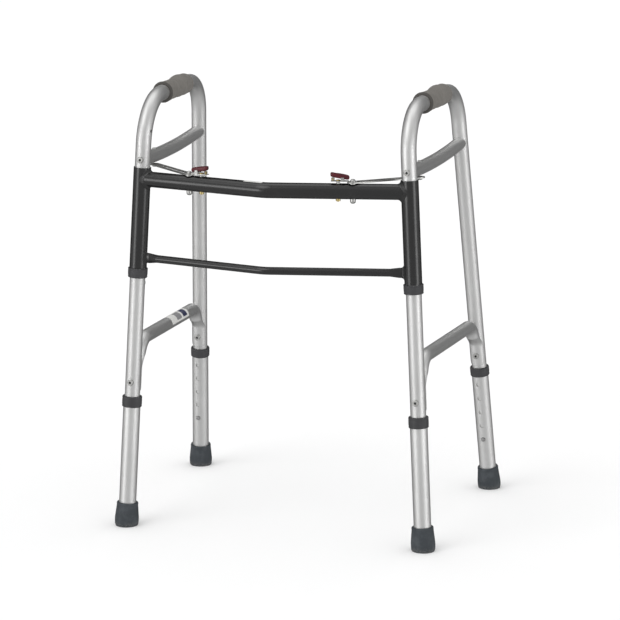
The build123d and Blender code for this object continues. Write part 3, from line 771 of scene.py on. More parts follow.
def dress(obj: bpy.types.Object, finish: Finish, body: str) -> bpy.types.Object:
    """Gives a new piece its finish and the body that it rides on.

    Args:
        obj: The piece, in place.
        finish: Its finish.
        body: The body that carries it.

    Returns:
        The piece.
    """
    obj.data.materials.clear()
    obj.data.materials.append(finish.material())
    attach(obj, body)
    LOG.info("%s rides on %s", obj.name, body)
    return obj


def dress_frame_nodes() -> None:
    """Gives every node of the mechanical frame the finish of its record slot."""
    slots = {part["node"]: part["material_slot"] for part in RECORD["subparts"]}
    for name, obj in frame["nodes"].items():
        material = SLOT_FINISH[slots[name]].material()
        if not obj.material_slots:
            obj.data.materials.append(material)
        for holder in obj.material_slots:
            holder.material = material
    LOG.info("%d frame nodes dressed", len(frame["nodes"]))


# ---------------------------------------------------------------- small parts


@dataclass
class ScrewHead:
    """A pan head with a cross recess, over the plain head of a brace screw."""

    name: str
    seat: Line
    radius: float = 5.35 * MM
    height: float = 2.95 * MM
    recess_r: float = 2.2 * MM
    recess_depth: float = 1.5 * MM
    cross_half: float = 0.95 * MM
    soft: float = 0.22 * MM
    skirt: float = 0.8 * MM
    rim_shade: float = 0.62

    def build(self, body: str) -> None:
        """Makes and dresses the head."""
        dress(self.head(), SCREW, body)

    def head(self) -> bpy.types.Object:
        """The head as a polar grid over its seat.

        Height falls from the crown to the seat as a superellipse of the radius. The cross is a
        product of smooth steps across and along each arm, joined to a round pit in its middle,
        and is taken off the height. The hollow mark is the depth of the cross, and rim_shade at
        the foot of the rim.

        Returns:
            The head.
        """
        around, rows = 96, 60
        share = np.linspace(0.0, 1.0, rows)[:, None]
        angle = np.linspace(0.0, 2.0 * math.pi, around, endpoint=False)[None, :]
        radius = self.radius * np.sin(share * math.pi / 2) ** 0.8 + 0.0 * angle
        crown = self.height * (1.0 - (radius / self.radius) ** 4) ** 0.5
        x, y = radius * np.cos(angle), radius * np.sin(angle)

        def inside(gap: Array) -> Array:
            """1 where the gap to an edge is more than a soft edge's width, and 0 past the edge."""
            return ease(gap, 0.0, 2 * self.soft)

        arms = [
            inside(self.cross_half + self.soft - np.abs(p)) * inside(self.recess_r - np.abs(q))
            for p, q in ((x, y), (y, x))
        ]
        hollow = np.maximum(arms[0], arms[1]) * inside(self.recess_r * 1.02 - radius)
        hollow = np.maximum(hollow, 0.8 * inside(self.recess_r * 0.9 - radius))
        height = crown - self.recess_depth * hollow
        radius = np.vstack([radius, radius[-1:]])
        height = np.vstack([height, np.full((1, around), -self.skirt)])
        angle = np.repeat(angle, rows + 1, axis=0)
        piece = skin(self.name, self.seat.round(radius, height, angle))
        # painted shade: the hollow mark darkens the cross and its pit, and rim_shade darkens the foot of the rim
        rim = self.rim_shade * ease(share, 0.84, 0.96)
        shade = np.concatenate([np.maximum(hollow, rim).ravel(), np.full(around + 2, self.rim_shade)])
        shade[-2] = 1.0  # the middle of the crown, which closes the first ring
        set_mark(piece, "hollow", shade)
        return piece


@dataclass
class LeverMoulding:
    """The plump moulding on one finger lever.

    Places along the lever are counted from the guide bolt's side, with its pin at pin_x; pin_end
    and finger_end are the lowest and highest levels over the pin at each end.
    """

    side: Side
    pin_x: float = -7.0 * MM
    from_x: float = -18.0 * MM
    to_x: float = 12.4 * MM
    half_w: float = 4.35 * MM
    pin_end: Tuple[float, float] = (-2.5 * MM, 5.4 * MM)
    finger_end: Tuple[float, float] = (2.6 * MM, 10.9 * MM)
    dish: float = 0.7 * MM
    dish_x: float = 5.0 * MM
    dish_width: float = 4.5 * MM
    rib: float = 0.16 * MM
    rib_pitch: float = 1.7 * MM
    rib_width: float = 3.4 * MM

    def build(self) -> None:
        """Makes and dresses the moulding."""
        name = self.side.value
        dress(self.moulding(), LEVER, f"{name}_lever")

    def moulding(self) -> bpy.types.Object:
        """The lever as rounded rectangles carried along it.

        Section: y = w |cos a|^0.55 and z = middle + h |sin a|^0.55, with their signs, both scaled
        by (1 - |2u - 1|^6)^(1/4) so that the ends are rounded. A finger dish and three fine
        ribs are taken off the top.

        Returns:
            The moulding.
        """
        joint = JOINTS[f"{self.side.value}_lever_press"]
        pin = np.array(joint["pos_m"])
        up = np.array([0.0, 0.0, 1.0])
        run = unit(np.cross(joint["axis"], up))
        run = run if run[0] * pin[0] < 0 else -run
        wide = np.cross(up, run)
        u = np.linspace(-1.0, 1.0, 96)
        u = np.sin(u * math.pi / 2)[:, None] * 0.9999
        a = np.linspace(0.0, 2.0 * math.pi, 80, endpoint=False)[None, :]
        x = (self.from_x + self.to_x) / 2 + u * (self.to_x - self.from_x) / 2
        share = (u + 1) / 2
        low = self.pin_end[0] + share * (self.finger_end[0] - self.pin_end[0])
        high = self.pin_end[1] + share * (self.finger_end[1] - self.pin_end[1])
        rounding = (1.0 - np.abs(u) ** 6) ** 0.25
        top = np.clip(np.sin(a), 0.0, 1.0) ** 2
        dish = self.dish * bump_at(x, self.dish_x, self.dish_width) * top
        ribs = self.rib * np.sin(2 * math.pi * x / self.rib_pitch) * top
        ribs = ribs * bump_at(x, self.dish_x, self.rib_width)
        square_cos = np.sign(np.cos(a)) * np.abs(np.cos(a)) ** 0.55
        square_sin = np.sign(np.sin(a)) * np.abs(np.sin(a)) ** 0.55
        y = self.half_w * (0.93 + 0.07 * share) * rounding * square_cos
        z = (low + high) / 2 + (high - low) / 2 * rounding * square_sin - dish + ribs
        place = pin + (x - self.pin_x)[..., None] * run + y[..., None] * wide + z[..., None] * up
        piece = skin(f"{self.side.value}_lever_moulding", place)
        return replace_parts(piece, f"{self.side.value}_lever_grip")


# ---------------------------------------------------------------- side frames


@dataclass
class SideFrame:
    """One side frame: hand grip, lower brace and label, and the lines that they follow.

    Attributes are sizes in metres, the same as the mechanical frame's.
    """

    side: Side
    tube_r: float = 12.7 * MM
    brace_r: float = 11.1 * MM
    saddle_wall: float = 2.8 * MM
    saddle_top: float = 266.6 * MM
    saddle_flat: float = 2.0 * MM
    foot_r: float = 7.0 * MM
    foot_width: float = 0.66
    saddle_gap: float = 0.12 * MM
    saddle_half_deg: float = 57.0
    crush: float = 26.0 * MM
    bend_r: float = 34.0 * MM
    grip_r: float = 16.6 * MM
    grip_lip: float = 1.1 * MM
    grip_lip_at: float = 3.0 * MM
    lip_shade: Tuple[float, float] = (3.4 * MM, 2.0 * MM)
    wave: float = 0.75 * MM
    wave_pitch: float = 27.0 * MM
    wave_from: float = 16.0 * MM
    wave_fade: Tuple[float, float] = (8.0 * MM, 20.0 * MM)
    hump: float = 2.5 * MM
    hump_at: float = 0.72
    hump_width: float = 15.0 * MM
    waist: float = 0.7 * MM
    waist_at: float = 0.40
    waist_width: float = 22.0 * MM
    grip_end: float = 2.4 * MM
    head_h: float = 2.8 * MM
    half_level: float = 450.0 * MM
    screw_reach: float = 26.0 * MM
    face_depth: float = 0.4 * MM
    label_from: float = 166.0 * MM
    label_length: float = 90.0 * MM
    label_half_deg: float = 60.0
    front: Line = field(init=False)
    rear: Line = field(init=False)
    back: Array = field(init=False)
    outward: Array = field(init=False)

    def __post_init__(self) -> None:
        """Reads both legs' axes from the frame's soles and slides."""
        name = self.side.value
        front_foot = np.array(SOLES[f"{name}_front_sole"]["pos_m"])
        rear_foot = np.array(SOLES[f"{name}_rear_sole"]["pos_m"])
        front_up = -np.array(JOINTS[f"{name}_front_leg_slide"]["axis"])
        rear_up = -np.array(JOINTS[f"{name}_rear_leg_slide"]["axis"])
        self.front = Line.through(front_foot, front_up, rear_foot - front_foot)
        self.rear = Line.through(rear_foot, rear_up, front_foot - rear_foot)
        self.back = self.front.across
        outward = self.front.beside
        self.outward = outward if outward[0] * front_foot[0] > 0 else -outward

    def node(self, part: str) -> str:
        """The name of this side's node for a part."""
        return f"{self.side.value}_{part}"

    def body(self) -> str:
        """The body of the side frame."""
        return self.node("side_frame")

    def build(self) -> None:
        """Makes and dresses the side frame's new pieces."""
        dress(self.hand_grip(), GRIP, self.body())
        dress(self.lower_brace(), TUBE, self.body())
        for head in self.screw_heads():
            head.build(self.body())
        if self.side is Side.LEFT:
            dress(self.label(), LABEL, self.body())

    def screw_heads(self) -> List[ScrewHead]:
        """The four brace screws' heads, found as the outermost points of the screws' own mesh.

        Returns:
            The heads, each on a seat whose axis points out of the leg.
        """
        points = points_of(self.node("brace_screws")).astype(float)
        heads = []
        for leg, out in ((self.front, -self.back), (self.rear, self.rear.across)):
            for where in ("upper", "lower"):
                way = -out if leg is self.rear and where == "upper" else out
                gap = points - leg.foot
                level = gap @ leg.up
                side = np.linalg.norm(gap - level[:, None] * leg.up, axis=1)
                half = (level > self.half_level) if where == "upper" else (level < self.half_level)
                mine = points[(side < self.screw_reach) & half]
                depth = mine @ way
                face = mine[depth > depth.max() - self.face_depth]
                centre = (face.max(axis=0) + face.min(axis=0)) / 2
                name = self.node(f"{'front' if leg is self.front else 'rear'}_{where}_screw_head")
                heads.append(ScrewHead(name, Line.through(centre - way * self.head_h, way, leg.up)))
        return heads

    def rail(self) -> Line:
        """The hand rail's axis: level, in the side frame's plane, with across pointing up."""
        level = unit(np.cross(self.outward, (0.0, 0.0, 1.0)))
        level = level if level[1] > 0 else -level
        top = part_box(self.node("side_tube"))[1].z - self.tube_r
        foot = self.front.at((top - self.front.foot[2]) / self.front.up[2])
        return Line.through(foot, level, (0.0, 0.0, 1.0))

    def hand_grip(self) -> bpy.types.Object:
        """The moulded grip as a surface of length s and angle a round the rail.

        Radius = grip_r + a lip near the front + finger waves, a cosine of s that shows only on
        the underside + a palm hump, mostly on top, towards the rear - a waist before it. Each end
        closes as a quarter circle down to the rail. The front lip's points are marked, to be darker.

        Returns:
            The grip.
        """
        rail = self.rail()
        start, stop = rail.span(self.node("hand_grip"))
        length = stop - start
        rows, around = 190, 96
        s = np.linspace(0.0, length, rows)
        a = np.linspace(0.0, 2.0 * math.pi, around, endpoint=False)
        along, angle = np.meshgrid(s, a, indexing="ij")
        top = np.clip(np.cos(angle), 0.0, 1.0)
        under = np.clip(-np.cos(angle), 0.0, 1.0)
        radius = np.full_like(along, self.grip_r)
        radius += self.grip_lip * bump_at(along, self.grip_lip_at, 2.6 * MM)
        radius += 0.5 * self.grip_lip * bump_at(along, length - self.grip_lip_at, 3.0 * MM)
        fade = ease(along, *self.wave_fade) * ease(length - along, *self.wave_fade)
        waves = np.cos(2 * math.pi * (along - self.wave_from) / self.wave_pitch)
        radius += self.wave * waves * under**0.8 * fade
        radius += self.hump * bump_at(along, self.hump_at * length, self.hump_width) * (0.35 + 0.65 * top)
        radius -= self.waist * bump_at(along, self.waist_at * length, self.waist_width)
        ends = np.minimum(along, length - along)
        rounding = 1.0 - np.clip(ends / self.grip_end, 0.0, 1.0)
        drop = self.grip_end * (1.0 - np.sqrt(1.0 - rounding**2))
        radius = np.maximum(radius - drop, self.tube_r + 0.2 * MM)
        rings = rail.round(radius, along + start, angle)
        piece = skin(self.node("moulded_grip"), rings)
        dark = np.concatenate([ease(along, *self.lip_shade).ravel(), [1.0, 0.0]])
        set_mark(piece, "lip", dark)
        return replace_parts(piece, self.node("hand_grip"))

    def brace_path(self) -> Tuple[Array, Array, Array, float]:
        """The lower brace's centreline: up the front leg, back along the side, down the rear leg.

        Straight runs joined by arcs of bend_r, the place on an arc being sin(turn) along the run
        and 1 - cos(turn) away from it. A station has a place, the direction that faces away from
        the leg, turned with the arc, and a level: its distance along the path, counted like a
        height up the leg.

        Returns:
            Places, facing directions, levels, and the height of the straight top.
        """
        node = self.node("lower_brace")
        low, high = self.front.span(node)
        top = high - self.brace_r
        offset = self.tube_r + self.brace_r
        front_corner = self.front.at(top) + self.back * offset
        rear_base = self.rear.foot + self.rear.across * offset
        rise = (top - (rear_base - self.front.foot) @ self.front.up) / (self.rear.up @ self.front.up)
        ends = [
            (front_corner, self.front.up, self.back, math.pi / 2, low, top),
            (rear_base + self.rear.up * rise, self.rear.up, -self.back,
             math.acos(float(-self.rear.up @ self.back)), self.rear.span(node)[0], rise),
        ]
        places, facings, levels = [], [], []
        for corner, up, away, bend, foot, height in ends:
            square = unit(away - up * (away @ up))
            arc_level = height - self.bend_r * math.tan(bend / 2)
            straight = np.concatenate([
                np.linspace(foot, foot + self.foot_r, 12, endpoint=False),
                np.linspace(foot + self.foot_r, arc_level, 44, endpoint=False),
            ])
            sweep = np.linspace(0.0, bend, 40)[:, None]
            arc = np.sin(sweep) * up + (1 - np.cos(sweep)) * square
            arc_from = corner + up * (arc_level - height)
            run = corner + up * (straight - height)[:, None]
            places.append(np.vstack([run, arc_from + self.bend_r * arc]))
            turned_square = np.cos(sweep) * square - np.sin(sweep) * up
            facings.append(np.vstack([np.repeat(square[None], len(straight), axis=0), turned_square]))
            levels.append(np.concatenate([straight, arc_level + self.bend_r * sweep[:, 0]]))
        rows = [np.concatenate([first, second[::-1]]) for first, second in (places, facings, levels)]
        return rows[0], rows[1], rows[2], top

    def lower_brace(self) -> bpy.types.Object:
        """The lower brace: a round tube whose ends are crushed into saddles round the legs.

        Each ring is (1 - t) x crescent + t x circle. The circle has brace_r. The crescent runs
        round the leg at tube_r + wall/2 +- wall/2, and its angle is the circle's angle
        squeezed to the saddle's half angle. t is a smooth step of the level over the saddle.

        Returns:
            The brace.
        """
        place, facing, level, _ = self.brace_path()
        a = np.linspace(0.0, 2.0 * math.pi, 72, endpoint=False)[None, :]
        share = ease(level, self.saddle_top + self.saddle_flat, self.saddle_top + self.crush)[:, None]
        from_front, from_rear = level - level[0], np.abs(level - level[-1])
        on_front = np.arange(len(level)) < len(level) // 2
        ends = np.where(on_front, from_front, np.minimum(from_front, from_rear))
        foot_round = np.clip(1.0 - ends / self.foot_r, 0.0, 1.0)[:, None]
        narrow = self.foot_width + (1.0 - self.foot_width) * np.sqrt(1.0 - foot_round**2)
        half = math.radians(self.saddle_half_deg) * narrow
        wall = self.saddle_wall / 2
        radius = self.tube_r + self.saddle_gap + wall
        radius = radius + wall * np.sign(np.cos(a)) * np.abs(np.cos(a)) ** 0.3
        angle = np.arcsin(np.sin(a)) / (math.pi / 2) * half
        offset = self.tube_r + self.brace_r
        x = (1 - share) * (radius * np.cos(angle) - offset) + share * self.brace_r * np.cos(a)
        y = (1 - share) * (radius * np.sin(angle)) + share * self.brace_r * np.sin(a)
        rings = place[:, None] + x[..., None] * facing[:, None] + y[..., None] * self.outward
        piece = skin(self.node("crushed_brace"), rings)
        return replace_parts(piece, self.node("lower_brace"))

    def label(self) -> bpy.types.Object:
        """The blank label round the brace's top and inner side."""
        _, _, _, top = self.brace_path()
        axis = Line.through(self.front.at(top), self.back, self.front.up - 0.7 * self.outward)
        span = (self.label_from, self.label_from + self.label_length)
        return paper_round(self.node("brace_label"), axis, self.brace_r, span, self.label_half_deg, True)


def paper_round(
    name: str, axis: Line, radius: float, span: Tuple[float, float], half_deg: float, printed: bool
) -> bpy.types.Object:
    """A sheet of paper stuck round a tube, as a patch of the tube's cylinder.

    Args:
        name: The piece's name.
        axis: The tube's axis, with across pointing to the middle of the sheet.
        radius: The tube's radius.
        span: Where the sheet starts and stops along the axis.
        half_deg: Half of the angle that it covers.
        printed: Whether it carries the block and the band.

    Returns:
        The sheet.
    """
    rows, columns = 40, 28
    u, v = np.meshgrid(np.linspace(0, 1, rows), np.linspace(0, 1, columns), indexing="ij")
    along = span[0] + (span[1] - span[0]) * u
    angle = math.radians(half_deg) * (2 * v - 1)
    points = axis.round(np.full_like(u, radius + 0.12 * MM), along, angle).reshape(-1, 3)
    index = np.arange(rows * columns).reshape(rows, columns)
    quads = np.stack([index[:-1, :-1], index[1:, :-1], index[1:, 1:], index[:-1, 1:]], -1).reshape(-1, 4)
    first, second, _, last = points[quads[0]]
    if np.cross(second - first, last - first) @ (first - axis.at(span[0])) < 0:
        quads = quads[:, ::-1]
    piece = piece_from(name, points, [tuple(row) for row in quads.tolist()])
    set_mark(piece, "sheet", np.stack([u.ravel(), v.ravel() * float(printed), np.zeros(u.size)], -1))
    thick = piece.modifiers.new("paper", "SOLIDIFY")
    thick.thickness = 0.1 * MM
    thick.offset = 1.0
    return piece


# ---------------------------------------------------------------- legs


@dataclass
class LegFoot:
    """The collar and the rubber tip of one leg."""

    owner: SideFrame
    leg: Leg
    tube_r: float = 14.3 * MM
    bore_r: float = 13.0 * MM
    collar_r: float = 16.4 * MM
    collar_round: float = 1.4 * MM
    collar_lid: float = 4.0 * MM
    tip_rim_r: float = 17.5 * MM
    tip_belly_r: float = 20.0 * MM
    tip_sole_r: float = 18.0 * MM
    tip_height: float = 40.0 * MM
    tip_under: float = 6.0 * MM
    tip_socket: float = 8.0 * MM

    def axis(self) -> Line:
        """The leg's axis."""
        return self.owner.front if self.leg is Leg.FRONT else self.owner.rear

    def node(self, part: str) -> str:
        """The name of this leg's node for a part."""
        return f"{self.owner.side.value}_{self.leg.value}_{part}"

    def build(self) -> None:
        """Makes and dresses the collar and the tip."""
        body = self.node("leg")
        dress(self.collar(), COLLAR, body)
        dress(self.tip(), TIP, body)

    def collar(self) -> bpy.types.Object:
        """The clamp collar: a turned ring with a rounded rim and two shallow grooves.

        Returns:
            The collar.
        """
        low, high = self.axis().span(self.node("leg_collar"))
        tube_top = high - self.collar_lid
        inner = self.tube_r + FREE
        corners = [
            (inner, low), (self.collar_r, low), (self.collar_r + 0.1 * MM, high - 2.2 * MM),
            (self.collar_r - 0.5 * MM, high), (self.bore_r, high), (self.bore_r, tube_top),
            (inner, tube_top),
        ]
        outline = dense(rounded(corners, self.collar_round, 7, closed=True), 0.8 * MM)
        shape = ring_grooves((low + 3.2 * MM, high - 4.6 * MM), (self.collar_r - 0.6 * MM, self.collar_r))
        piece = turned(self.node("ring_collar"), self.axis(), outline, 96, True, shape)
        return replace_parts(piece, self.node("leg_collar"))

    def tip(self) -> bpy.types.Object:
        """The rubber tip: a turned barrel with a rolled rim, a sole groove and a mould mark.

        Points that the lean of the leg puts under the floor are pressed flat on it.

        Returns:
            The tip.
        """
        socket_r, socket_floor = self.tube_r + 0.1 * MM, self.tip_height - self.tip_socket
        corners = [
            (0.0, -self.tip_under), (self.tip_sole_r, -self.tip_under),
            (self.tip_sole_r + 0.4 * MM, 0.4 * MM), (self.tip_belly_r - 0.15 * MM, 3.0 * MM),
            (self.tip_belly_r, 13 * MM),
            (self.tip_rim_r, self.tip_height - 1.5 * MM), (self.tip_rim_r - 0.4 * MM, self.tip_height),
            (socket_r, self.tip_height), (socket_r, socket_floor), (0.0, socket_floor),
        ]
        outline = dense(rounded(corners, 1.6 * MM, 7, closed=False), 0.9 * MM)

        def moulding(radius: Array, height: Array, angle: Array) -> Array:
            """A rolled rim, a groove over the sole, and an upright mark at the front and back."""
            wall = ease(radius, self.tube_r + 1.5 * MM, self.tube_r + 2.5 * MM)
            rim = 0.45 * MM * bump_at(height, self.tip_height - 2.2 * MM, 1.5 * MM)
            groove = -0.5 * MM * bump_at(height, 4.6 * MM, 0.8 * MM)
            mark = 0.4 * MM * bump_at(np.abs(np.sin(angle)), 0.0, 0.045)
            mark = mark * ease(height, 5.5 * MM, 7 * MM) * ease(height, 17 * MM, 14 * MM)
            return wall * (rim + groove + mark)

        piece = turned(self.node("moulded_tip"), self.axis(), outline, 144, False, moulding, floor=True)
        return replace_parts(piece, self.node("rubber_tip"))


def ring_grooves(heights: Sequence[float], wall: Tuple[float, float]) -> Shape:
    """A change of radius that presses a shallow groove into a ring's wall at each height.

    Args:
        heights: Where the grooves are.
        wall: The radii between which the groove starts to act, so that the bore stays round.

    Returns:
        The function of radius, height and angle that a turned piece takes: minus the groove's
        depth x a sum of bells of the height x a smooth step of the radius.
    """

    def press(radius: Array, height: Array, angle: Array) -> Array:
        """The change of radius."""
        cut = sum(bump_at(height, spot, GROOVE_WIDTH) for spot in heights)
        return -GROOVE_DEPTH * cut * ease(radius, *wall)

    return press


def dense(outline: Array, pitch: float) -> Array:
    """The same outline with more points, so that no edge is longer than pitch.

    Args:
        outline: Rows of two values.
        pitch: The longest edge that is left.

    Returns:
        The denser outline.
    """
    edges = np.linalg.norm(np.diff(outline, axis=0), axis=1)
    counts = np.maximum(np.ceil(edges / pitch).astype(int), 1)
    starts = np.repeat(np.arange(len(edges)), counts)
    first = np.concatenate([[0], np.cumsum(counts)[:-1]])
    share = (np.arange(counts.sum()) - first[starts]) / counts[starts]
    inner = outline[starts] + share[:, None] * (outline[starts + 1] - outline[starts])
    kept = np.vstack([inner, outline[-1:]])
    apart = np.concatenate([[True], np.linalg.norm(np.diff(kept, axis=0), axis=1) > 1e-7])
    return kept[apart]


# ---------------------------------------------------------------- centre frame


@dataclass
class CentreFrame:
    """One side of the black centre frame: its welds, the collar under its sleeve and a label."""

    owner: SideFrame
    sleeve_r: float = 14.3 * MM
    upper_r: float = 12.7 * MM
    flat_half_h: float = 8.4 * MM
    flat_half_t: float = 3.2 * MM
    nose_deg: float = 12.4
    upper_leg: float = 5.0 * MM
    lower_leg: float = 4.0 * MM
    ripple: float = 0.35 * MM
    ripples: float = 44.0
    collar_foot_r: float = 15.9 * MM
    collar_top_r: float = 16.4 * MM
    label_length: float = 34.0 * MM
    label_short: float = 3.0 * MM
    label_half_deg: float = 40.0
    label_turn_deg: float = 20.0

    def build(self) -> None:
        """Makes and dresses both welds, the collar under the sleeve and, on the left, a label."""
        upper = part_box("upper_crossbar")
        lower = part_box("lower_crossbar")
        upper_z = (upper[0].z + upper[1].z) / 2
        lower_z = (lower[0].z + lower[1].z) / 2
        side = self.owner.side.value
        welds = [
            self.weld(f"{side}_upper_weld", upper_z, self.upper_r, self.upper_r, self.upper_leg),
            self.weld(f"{side}_lower_weld", lower_z, self.flat_half_h, self.flat_half_t, self.lower_leg),
        ]
        for weld in welds:
            dress(weld, COAT, "centre_frame")
        dress(self.sleeve_collar(), COLLAR, self.owner.body())
        if self.owner.side is Side.LEFT:
            dress(self.bar_label(upper_z), LABEL, "centre_frame")

    def bar_run(self, height: float) -> Tuple[Array, Array]:
        """Where a crossbar's centreline meets this side's front leg, and its way to the nose.

        Args:
            height: The crossbar's height above the floor.

        Returns:
            The place on the leg's axis and the direction.
        """
        line = self.owner.front
        nose = math.radians(self.nose_deg)
        way = (-math.copysign(math.cos(nose), line.foot[0]), -math.sin(nose), 0.0)
        return line.at((height - line.foot[2]) / line.up[2]), unit(way)

    def bar_label(self, height: float) -> bpy.types.Object:
        """A small blank label over the top and back of the upper crossbar, beside its nose.

        Args:
            height: The crossbar's height above the floor.

        Returns:
            The label.
        """
        start, along = self.bar_run(height)
        turn = math.radians(self.label_turn_deg)
        rise = np.array([0.0, 0.0, 1.0])
        back = np.cross(rise, along)
        back = back if back[1] > 0 else -back
        axis = Line.through(start, along, math.cos(turn) * rise + math.sin(turn) * back)
        stop = abs(start[0] / along[0]) - self.label_short
        span = (stop - self.label_length, stop)
        return paper_round("crossbar_label", axis, self.upper_r, span, self.label_half_deg, False)

    def weld(self, name: str, height: float, tall: float, wide: float, leg: float) -> bpy.types.Object:
        """A concave weld between a crossbar and a sleeve, with fine ripples along it.

        The bar's outline is an ellipse carried along the bar. It meets the sleeve's cylinder where
        a quadratic in the distance along the bar has its root. At each angle the weld's face runs
        as a parabola from a point on the bar, leg away from the seam, to a point on the sleeve,
        where an outline grown by leg meets it. The seam itself, sunk a little, closes the section.

        Args:
            name: The piece's name.
            height: The crossbar's height above the floor.
            tall: Half of the bar's height at the seam.
            wide: Half of its width there.
            leg: How far the weld reaches along each part.

        Returns:
            The weld.
        """
        line = self.owner.front
        start, along = self.bar_run(height)
        rise = np.array([0.0, 0.0, 1.0])
        flank = np.cross(along, rise)
        a = np.linspace(0.0, 2.0 * math.pi, 360, endpoint=False)[:, None]

        def meeting(grow: float) -> Array:
            """Where the outline, grown by that much, meets the sleeve's cylinder."""
            half_wide = min(wide + grow, 0.985 * self.sleeve_r)
            q = (tall + grow) * np.cos(a) * rise + half_wide * np.sin(a) * flank
            bar = along - (along @ line.up) * line.up
            spoke = q - (q @ line.up)[:, None] * line.up
            b = spoke @ bar
            c = np.sum(spoke * spoke, axis=1) - self.sleeve_r**2
            reach = (-b + np.sqrt(np.maximum(b * b - (bar @ bar) * c, 0.0))) / (bar @ bar)
            return start + q + reach[:, None] * along

        seam = meeting(0.0)
        on_bar = seam + leg * along
        on_sleeve = meeting(leg)
        share = np.linspace(0.0, 1.0, 9)[None, :, None]
        ripple = (0.5 + 0.5 * np.sin(self.ripples * a + 1.3 * np.sin(5.0 * a)))[:, None]
        ripple = ripple * np.sin(math.pi * share)
        lift = (on_bar + on_sleeve - 2.0 * seam) / 2.0
        lift = lift / np.maximum(np.linalg.norm(lift, axis=1), 1e-6)[:, None]
        control = (seam + 0.12 * (on_bar + on_sleeve - 2.0 * seam))[:, None]
        face = (1 - share) ** 2 * on_bar[:, None] + 2 * share * (1 - share) * control
        face = face + share**2 * on_sleeve[:, None] + self.ripple * ripple * lift[:, None]
        sunk = (seam - 0.5 * MM * lift)[:, None]
        return skin(name, np.concatenate([face, sunk], axis=1), joined=True)

    def sleeve_collar(self) -> bpy.types.Object:
        """The collar that carries the sleeve: a turned ring, wider at the top, with two grooves.

        Returns:
            The collar.
        """
        line = self.owner.front
        node = self.owner.node("sleeve_collar")
        low, high = line.span(node)
        bore = self.owner.tube_r + FREE
        corners = [(bore, low), (self.collar_foot_r, low), (self.collar_top_r, high), (bore, high)]
        outline = dense(rounded(corners, 1.6 * MM, 7, closed=True), 0.8 * MM)
        shape = ring_grooves((low + 3.5 * MM, high - 3.2 * MM), (15.0 * MM, 15.8 * MM))
        piece = turned(self.owner.node("carrier_collar"), line, outline, 96, True, shape)
        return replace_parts(piece, node)


# ---------------------------------------------------------------- studio


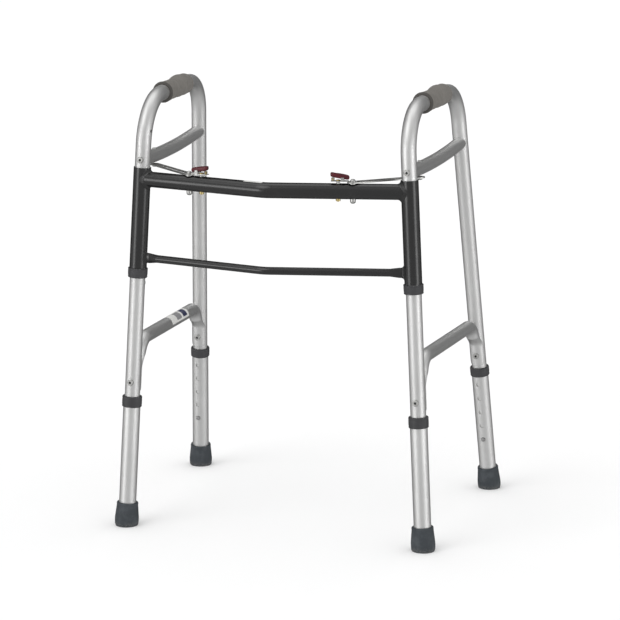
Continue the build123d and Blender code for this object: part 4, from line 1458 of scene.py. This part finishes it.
@dataclass
class Studio:
    """A pale floor, a soft white surround with side panels for the metal, and the camera."""

    look_at: Tuple[float, float, float] = (0.0674, -0.1974, 0.3885)
    azimuth_deg: float = 17.24
    elevation_deg: float = 12.03
    distance: float = 4.727
    roll_deg: float = -0.07
    lens_mm: float = 170.47
    floor_half: float = 60.0
    behind: float = 0.03
    ahead: float = 0.60
    dark_edge: Tuple[float, float] = (-0.80, -0.05)
    strip_deg: float = 57.0
    strip_edge: Tuple[float, float] = (0.955, 0.985)
    strip_light: float = 3.0
    overhead: float = 1.15
    ceiling_edge: Tuple[float, float] = (0.76, 0.88)
    ceiling_front: Tuple[float, float] = (0.12, -0.08)
    room: float = 0.97
    key: float = 0.55
    key_spread_deg: float = 35.0
    key_turn_deg: Tuple[float, float, float] = (38.0, -16.0, -12.0)
    sensor_mm: float = 36.0

    def build(self) -> None:
        """Makes the floor, the surround, the key light and the camera."""
        self.floor()
        self.surround()
        self.key_light()
        self.camera()
        scene = bpy.context.scene
        scene.view_settings.view_transform = "Standard"

    def floor(self) -> None:
        """A large pale floor that lights the frame from below but shows in no reflection."""
        half = self.floor_half
        verts = np.array([(-half, -half, 0), (half, -half, 0), (half, half, 0), (-half, half, 0)], float)
        floor = piece_from("studio_floor", verts, [(0, 1, 2, 3)])
        material = bpy.data.materials.new("studio_floor_paint")
        material.use_nodes = True
        tree = Tree(material.node_tree)
        mottle = tree.noise(0.8, 2.0)
        tree.surface(
            {"Roughness": 1.0, "Specular IOR Level": 0.0},
            {"Base Color": tree.blend(mottle, (0.93, 0.93, 0.93), (0.95, 0.95, 0.95))},
        )
        floor.data.materials.append(material)
        floor.visible_glossy = False

    def surround(self) -> None:
        """White for everything but reflections, which see softboxes in a half-dark studio.

        Directions are split by how far they point back at the camera. Behind the frame it is dark,
        in front it is a middle grey, and upright softboxes stand to both sides of the camera at
        strip_deg. A bank of lights hangs high up behind the frame.
        """
        world = bpy.data.worlds.new("studio")
        bpy.context.scene.world = world
        world.use_nodes = True
        tree = Tree(world.node_tree)
        way = tree.add("ShaderNodeTexCoord", output="Generated")
        azimuth, strip = math.radians(self.azimuth_deg), math.radians(self.strip_deg)

        def toward(turn: float) -> Wire:
            """How far the direction points to the camera's side, turned about the upright."""
            spot = (math.sin(azimuth + turn), -math.cos(azimuth + turn), 0.0)
            inputs = {0: way, 1: spot}
            return tree.add("ShaderNodeVectorMath", {"operation": "DOT_PRODUCT"}, inputs, "Value")

        up = tree.part(way, "Z")
        front = toward(0.0)
        grey = front.step(*self.dark_edge, self.behind, self.ahead)
        boxes = toward(strip).step(*self.strip_edge) + toward(-strip).step(*self.strip_edge)
        ceiling = up.step(*self.ceiling_edge) * front.step(*self.ceiling_front) * self.overhead
        in_gloss = grey + boxes * self.strip_light + ceiling
        path = tree.add("ShaderNodeLightPath", output="Is Glossy Ray")
        strength = path * in_gloss + (1.0 - path) * self.room
        light = tree.add("ShaderNodeBackground", {}, {"Color": (1.0, 1.0, 1.0), "Strength": strength})
        tree.add("ShaderNodeOutputWorld", {}, {"Surface": light})

    def key_light(self) -> None:
        """A broad soft light from above and the left, for form and a faint shadow."""
        sun = bpy.data.lights.new("studio_key", "SUN")
        sun.energy = self.key
        sun.angle = math.radians(self.key_spread_deg)
        obj = bpy.data.objects.new("studio_key", sun)
        obj.rotation_euler = [math.radians(turn) for turn in self.key_turn_deg]
        bpy.context.scene.collection.objects.link(obj)

    def camera(self) -> None:
        """The camera, on a sphere round the point it looks at."""
        azimuth, elevation = math.radians(self.azimuth_deg), math.radians(self.elevation_deg)
        level = math.cos(elevation)
        away = Vector((math.sin(azimuth) * level, -math.cos(azimuth) * level, math.sin(elevation)))
        data = bpy.data.cameras.new("camera")
        data.lens = self.lens_mm
        data.sensor_width = self.sensor_mm
        data.clip_end = 200.0
        obj = bpy.data.objects.new("camera", data)
        turn = (-away).to_track_quat("-Z", "Y").to_matrix().to_4x4()
        roll = Matrix.Rotation(math.radians(self.roll_deg), 4, "Z")
        obj.matrix_world = Matrix.Translation(Vector(self.look_at) + away * self.distance) @ turn @ roll
        bpy.context.scene.collection.objects.link(obj)
        bpy.context.scene.camera = obj


def main() -> None:
    """Builds the side frames, their legs, the centre frame and the studio, in that order."""
    logging.basicConfig(level=logging.INFO, format="%(name)s: %(message)s")
    dress_frame_nodes()
    for side in Side:
        owner = SideFrame(side)
        owner.build()
        for leg in Leg:
            LegFoot(owner, leg).build()
        CentreFrame(owner).build()
        LeverMoulding(side).build()
    Studio().build()


if __name__ == "__main__":
    main()
